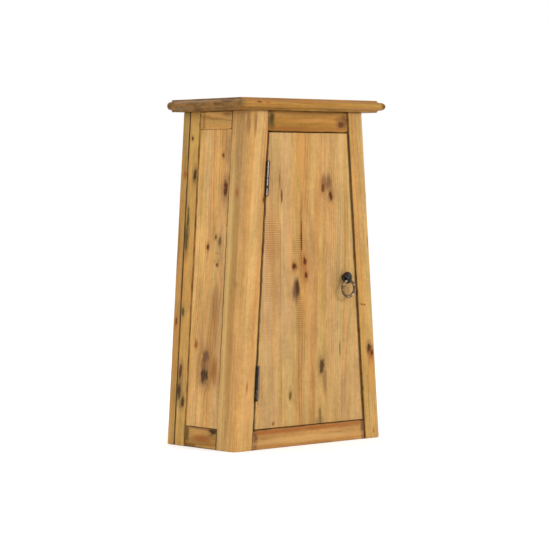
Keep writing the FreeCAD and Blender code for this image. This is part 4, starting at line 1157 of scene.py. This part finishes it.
def door_finishes():
    """The knots and colour of each door board."""
    out = 207.6
    left = Pine("upright", 0, 91, (-170, 40), 3.6, 0.84, 0.55, 0.55, 0.3, (1, 1.01, 1.12))
    left.knot((-79.5, out, 539), (2, 4, 14), "plum", "grain", 0.7)
    left.knot((-74.3, out, 508), (3, 4, 18), "knot", "grain", 0.8)
    left.knot((-52.4, out, 104), (4, 5, 10), "moss", "grain", 0.85)
    left.knot((-99, out, 50), (3, 4, 4), "knot", "grain", 0.7)
    left.stain((-112, out, 590), (26, 8, 40), "olive", 0.35)
    left.stain((-116, out, 540), (7, 8, 50), "plum", 0.3)
    left.stain((-75, out, 480), (7, 8, 50), "honey", 0.6)
    left.stain((-105, out, 400), (14, 8, 90), "rust", 0.15)
    left.saw((-104, out, 425), (26, 8, 70), 4.4, 0.65).saw((-106, out, 320), (26, 8, 40), 4.4, 0.35)
    left.saw((-120, out, 240), (20, 8, 40), 4.4, 0.25)
    middle = Pine("upright", 0, 97, (-60, 36), 4.2, 0.83, 0.8, 0.6, 0.3, (1, 0.98, 1))
    middle.knot((38.7, out, 519), (6, 5, 11), "knot", "rust", 0.8)
    middle.stain((42, out, 534), (11, 8, 18), "plum", 0.75)
    middle.knot((-21.3, out, 421), (2.2, 4, 50), "knot", "grain", 1)
    middle.knot((-12, out, 371), (5, 5, 10), "knot", "rust", 0.95)
    middle.knot((-8.9, out, 345), (5, 5, 9), "knot", "rust", 0.95)
    middle.knot((-40.7, out, 362), (7.5, 5, 8.5), "knot", "rust", 0.98)
    middle.knot((34.5, out, 158), (8, 5, 15), "soot_and_shade", "plum", 0.85)
    middle.knot((29, out, 58), (4, 4, 22), "moss", "olive", 0.6)
    middle.stain((-36, out, 315), (13, 8, 30), "plum", 1)
    middle.stain((-32, out, 322), (7, 8, 24), "soot_and_shade", 0.85)
    middle.stain((-6, out, 300), (6, 8, 110), "amber", 0.7)
    middle.stain((-14, out, 350), (16, 8, 40), "grain", 0.35)
    middle.stain((-18, out, 590), (12, 8, 80), "amber", 0.6)
    middle.stain((44, out, 126), (9, 8, 30), "plum", 0.55)
    middle.stain((26, out, 46), (20, 8, 12), "moss", 0.4)
    middle.saw((-25, out, 398), (27, 8, 46), 4.4, 0.65).saw((-26, out, 262), (16, 8, 60), 4.4, 0.65)
    right = Pine("upright", 0, 103, (120, 44), 3.4, 0.835, 0.65, 0.5, 0.35, (1, 1.01, 1.03))
    right.knot((60.6, out, 506), (5.5, 5, 11), "knot", "plum", 0.98)
    right.knot((85, out, 192), (2, 4, 16), "moss", "olive", 0.7)
    right.stain((53, out, 532), (13, 8, 20), "plum", 0.85)
    right.stain((62, out, 485), (8, 8, 14), "amber", 0.5)
    right.stain((88, out, 330), (22, 8, 46), "plum", 0.12)
    right.stain((120, out, 600), (16, 8, 30), "amber", 0.4)
    right.saw((70, out, 370), (20, 8, 50), 4.4, 0.2)
    return {"left": left, "middle": middle, "right": right}


class CABINET_OT_inside(bpy.types.Operator):
    """Makes the floor, shelves, battens, cleats and door stop"""
    bl_idname = "cabinet.inside"
    bl_label = "Inside Boards"

    def execute(self, context):
        for index, node in enumerate(("bottom_board", "shelf_lower", "shelf_upper")):
            z = high(node).z / MM
            pine = Pine("slab", 0, 111 + index, (0, 40), 3.8, 0.9, 0.7, 0.7, 0.2)
            pine.knot((-70 + 60 * index, 110 + 25 * index, z), (10, 7, 30))
            pine.knot((60 - 30 * index, 60 + 20 * index, z), (7, 5, 30), "knot", "rust")
            eased_copy(node, pine_material("Pine_" + node, pine), "cabinet", "inner_wood",
                       1.2 * MM)
        strips = ["door_stop", "top_cleat_left", "top_cleat_right", "bottom_cleat_left",
                  "bottom_cleat_right"]
        for level in ("lower", "upper"):
            strips += ["shelf_batten_%s_left" % level, "shelf_batten_%s_right" % level]
        for index, node in enumerate(strips):
            order = "rail" if node == "door_stop" else "side rail"
            pine = Pine(order, 0, 121 + index, (10, 70), 3, 0.88, 0.7, 0.7, 0.25)
            eased_copy(node, pine_material("Pine_" + node, pine), "cabinet", "inner_wood",
                       0.9 * MM)
        return {"FINISHED"}


class CABINET_OT_hinges(bpy.types.Operator):
    """Finishes the two iron hinges, with painted highlights down their knuckles"""
    bl_idname = "cabinet.hinges"
    bl_label = "Hinges"

    def execute(self, context):
        palette = finish()
        # Painted highlights: a bright strip down the upper hinge and a fainter one down the lower, where the
        # skin faces the front.
        strips = ((0.35, 1, (-0.57, -0.82, 0), 0.85), (0.35, -1, (0.1, -0.99, 0), 0.4))
        iron = metal_material("Hinge_Iron", scaled(palette.iron, 0.8, 0.75, 0.7),
                              scaled(palette.steel, 1.15, 1.05, 0.95),
                              scaled(palette.rust, 0.4, 0.4, 0.4), 700, 0.2,
                              painted_highlight_strips=strips)
        pins = metal_material("Hinge_Pin_Iron", scaled(palette.iron, 0.7, 0.7, 0.7),
                              palette.worn_iron, scaled(palette.rust, 0.4, 0.4, 0.4), 900, 0.5)
        for node in ("hinge_frame_leaves", "hinge_door_leaves"):
            repaint(node, iron)
        repaint("hinge_pins", pins)
        return {"FINISHED"}


class CABINET_OT_ring_pull(bpy.types.Operator):
    """Makes the hammered iron ring and finishes the ball it hangs from"""
    bl_idname = "cabinet.ring_pull"
    bl_label = "Ring Pull"

    def execute(self, context):
        palette = finish()
        iron = metal_material("Pull_Iron", palette.iron, palette.worn_iron,
                              scaled(palette.rust, 0.45, 0.4, 0.4), 520, 0.45, 0.8, 0.25)
        ring_iron = metal_material("Ring_Iron", scaled(palette.iron, 4.6, 3.4, 2),
                                   scaled(palette.worn_iron, 3, 2.7, 2.2),
                                   scaled(palette.rust, 0.7, 0.6, 0.6), 420, 0.95, 0.8, 0.2)
        for node in ("pull_boss", "pull_washer", "pull_nut"):
            repaint(node, iron)
        finished("Pull_Ring", ring_mesh(), ring_iron, "ring", "dark_iron", "pull_ring")
        return {"FINISHED"}


def ring_mesh():
    """A ring of round wire that a hammer has left slightly uneven."""
    setting = sizes()
    lo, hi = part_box("pull_ring")
    centre = (lo + hi) / 2
    wire = min(setting.ring_wire, (hi.y - lo.y) / 2)
    major = (hi.x - lo.x) / 2 - wire
    bm = bmesh.new()
    turns, sides = 96, 16
    rows = []
    for turn in range(turns):
        angle = 2 * math.pi * turn / turns
        out = Vector((math.cos(angle), 0, math.sin(angle)))
        row = []
        for step in range(sides):
            around = 2 * math.pi * step / sides
            place = centre + out * (major + wire * math.cos(around))
            place.y += wire * math.sin(around)
            dent = setting.hammered * (0.5 + wobble(place, 190, 5))
            inward = centre + out * major - place
            row.append(bm.verts.new(place + inward.normalized() * max(0, dent)))
        rows.append(row)
    for index in range(turns):
        first, second = rows[index], rows[(index + 1) % turns]
        for step in range(sides):
            after = (step + 1) % sides
            bm.faces.new((first[step], second[step], second[after], first[after]))
    bmesh.ops.recalc_face_normals(bm, faces=bm.faces)
    mesh = bpy.data.meshes.new("Pull_Ring")
    bm.to_mesh(mesh)
    bm.free()
    return mesh


class CABINET_OT_catch(bpy.types.Operator):
    """Finishes the magnetic catch and its strike plate"""
    bl_idname = "cabinet.catch"
    bl_label = "Door Catch"

    def execute(self, context):
        palette = finish()
        material, n, shader = new_material("Catch_Plastic")
        vector = n.add("TexCoord").outputs["Object"]
        skin_noise = n.noise(vector, (1500, 1500, 1500), 3, 0.6)
        clouds = n.ramp(n.noise(vector, (90, 90, 90), 3, 0.5), 0.3, 0.7)
        n.feed(shader.inputs["Base Color"], n.mix(clouds, palette.plastic, scaled(
            palette.plastic, 0.86, 0.84, 0.82)))
        n.feed(shader.inputs["Roughness"], n.ramp(skin_noise, 0.3, 0.7, 0.38, 0.5, False))
        bumped(n, shader, skin_noise, 0.3, 0.08 * MM)
        repaint("catch_housing", material)
        steel = metal_material("Zinc_Steel", palette.steel, scaled(palette.steel, 1.2, 1.2, 1.2),
                               scaled(palette.steel, 0.5, 0.45, 0.4), 800, 0.5, 0.9, 0.05)
        dark = metal_material("Magnet_Steel", scaled(palette.steel, 0.4, 0.4, 0.42),
                              palette.steel, scaled(palette.steel, 0.3, 0.25, 0.2), 900, 0.4,
                              0.8, 0.05)
        repaint("catch_magnet", dark)
        for node in ("strike_plate", "strike_screw", "catch_screws"):
            repaint(node, steel)
        return {"FINISHED"}


class CABINET_OT_screws(bpy.types.Operator):
    """Finishes the screws"""
    bl_idname = "cabinet.screws"
    bl_label = "Screws"

    def execute(self, context):
        palette = finish()
        steel = metal_material("Screw_Steel", scaled(palette.steel, 0.6, 0.58, 0.55),
                               palette.steel, scaled(palette.rust, 0.6, 0.6, 0.6), 700, 0.5,
                               0.9, 0.06)
        dark = metal_material("Screw_Iron", palette.iron, palette.worn_iron,
                              scaled(palette.rust, 0.4, 0.4, 0.4), 900, 0.6)
        for node in ("hinge_frame_screws", "hinge_door_screws"):
            repaint(node, dark)
        for node in ("back_frame_screws", "batten_screws", "cleat_screws", "top_screws",
                     "floor_screws", "ledge_screws"):
            repaint(node, steel)
        return {"FINISHED"}


class CABINET_OT_studio(bpy.types.Operator):
    """Sets up the floor, the lamps, the backdrop and the camera"""
    bl_idname = "cabinet.studio"
    bl_label = "Studio"

    def execute(self, context):
        scene = context.scene
        scene.view_settings.view_transform = "Standard"
        self.floor()
        self.backdrop(scene)
        self.lamp("Key_Lamp", (1.1, -2.9, 1.9), 1.0, 30)
        self.lamp("Fill_Lamp", (-2.6, -1.6, 1.2), 1.8, 10)
        self.lamp("Back_Lamp", (0.2, 2.4, 1.6), 1.6, 10)
        self.camera(scene)
        return {"FINISHED"}

    def floor(self):
        bm = bmesh.new()
        bmesh.ops.create_grid(bm, x_segments=8, y_segments=8, size=30)
        mesh = bpy.data.meshes.new("Floor")
        bm.to_mesh(mesh)
        bm.free()
        floor = bpy.data.objects.new("Floor", mesh)
        floor.location.z = -0.5 * MM
        bpy.context.scene.collection.objects.link(floor)
        material, n, shader = new_material("Pale_Floor")
        shader.inputs["Base Color"].default_value = (0.86, 0.86, 0.86, 1)
        shader.inputs["Roughness"].default_value = 0.9
        shader.inputs["Specular IOR Level"].default_value = 0.1
        rays = n.add("LightPath").outputs
        seen = n.math("ADD", rays["Is Camera Ray"], n.math(
            "ADD", rays["Is Glossy Ray"], rays["Is Transmission Ray"]), clamp=True)
        shader.inputs["Emission Color"].default_value = (1, 1, 1, 1)
        n.feed(shader.inputs["Emission Strength"], n.math("MULTIPLY", seen, 0.42))
        mesh.materials.append(material)

    def backdrop(self, scene):
        """A white backdrop to the eye and to polished metal, and soft light elsewhere."""
        world = bpy.data.worlds.new("Studio")
        scene.world = world
        world.use_nodes = True
        world.node_tree.nodes.clear()
        n = Nodes(world.node_tree)
        rays = n.add("LightPath").outputs
        seen = n.math("ADD", rays["Is Camera Ray"], n.math(
            "ADD", rays["Is Glossy Ray"], rays["Is Transmission Ray"]), clamp=True)
        background = n.add("Background")
        n.feed(background.inputs["Color"], (1, 1, 1, 1))
        n.feed(background.inputs["Strength"], n.math("MULTIPLY_ADD", seen, 0.3, 0.7))
        n.feed(n.add("OutputWorld").inputs["Surface"], background.outputs[0])

    def lamp(self, name, place, size, power):
        data = bpy.data.lights.new(name, "AREA")
        data.shape = "SQUARE"
        data.size = size
        data.energy = power
        lamp = bpy.data.objects.new(name, data)
        lamp.location = place
        aim = Vector((0, 0, 0.35)) - Vector(place)
        lamp.rotation_mode = "QUATERNION"
        lamp.rotation_quaternion = aim.to_track_quat("-Z", "Y")
        bpy.context.scene.collection.objects.link(lamp)

    def camera(self, scene):
        """A long lens at the height of the door, seen from the left."""
        turn, tilt, roll = math.radians(41.63), math.radians(2.32), math.radians(0.21)
        ahead = Vector((math.sin(turn) * math.cos(tilt), math.cos(turn) * math.cos(tilt),
                        -math.sin(tilt)))
        right = Vector((math.cos(turn), -math.sin(turn), 0))
        down = ahead.cross(right)
        right_rolled = right * math.cos(roll) + down * math.sin(roll)
        down_rolled = down * math.cos(roll) - right * math.sin(roll)
        data = bpy.data.cameras.new("Camera")
        data.sensor_width = 36
        data.lens = 148.3
        camera = bpy.data.objects.new("Camera", data)
        axes = Matrix((right_rolled, -down_rolled, -ahead)).transposed().to_4x4()
        camera.matrix_world = Matrix.Translation((-3.0969, -3.4735, 0.5305)) @ axes
        scene.collection.objects.link(camera)
        scene.camera = camera


OPERATORS = (CABINET_OT_groups, CABINET_OT_slab, CABINET_OT_posts, CABINET_OT_sides,
             CABINET_OT_front_rails, CABINET_OT_back, CABINET_OT_door, CABINET_OT_inside,
             CABINET_OT_hinges, CABINET_OT_ring_pull, CABINET_OT_catch, CABINET_OT_screws,
             CABINET_OT_studio)


class CABINET_PT_panel(bpy.types.Panel):
    bl_idname = "CABINET_PT_panel"
    bl_label = "Wall Cabinet"
    bl_space_type = "VIEW_3D"
    bl_region_type = "UI"
    bl_category = "Cabinet"

    def draw(self, context):
        layout = self.layout
        for operator in OPERATORS:
            layout.operator(operator.bl_idname)
        for group in (context.scene.cabinet_sizes, context.scene.cabinet_finish):
            column = layout.column(align=True)
            for name in group.bl_rna.properties.keys():
                if name not in ("rna_type", "name"):
                    column.prop(group, name)


CLASSES = (CabinetSizes, CabinetFinish) + OPERATORS + (CABINET_PT_panel,)


def register():
    for item in CLASSES:
        bpy.utils.register_class(item)
    bpy.types.Scene.cabinet_sizes = PointerProperty(type=CabinetSizes)
    bpy.types.Scene.cabinet_finish = PointerProperty(type=CabinetFinish)


def unregister():
    del bpy.types.Scene.cabinet_finish
    del bpy.types.Scene.cabinet_sizes
    for item in reversed(CLASSES):
        bpy.utils.unregister_class(item)


def main():
    register()
    bpy.ops.cabinet.groups()
    bpy.ops.cabinet.slab()
    bpy.ops.cabinet.posts()
    bpy.ops.cabinet.sides()
    bpy.ops.cabinet.front_rails()
    bpy.ops.cabinet.back()
    bpy.ops.cabinet.door()
    bpy.ops.cabinet.inside()
    bpy.ops.cabinet.hinges()
    bpy.ops.cabinet.ring_pull()
    bpy.ops.cabinet.catch()
    bpy.ops.cabinet.screws()
    bpy.ops.cabinet.studio()


if __name__ == "__main__":
    main()
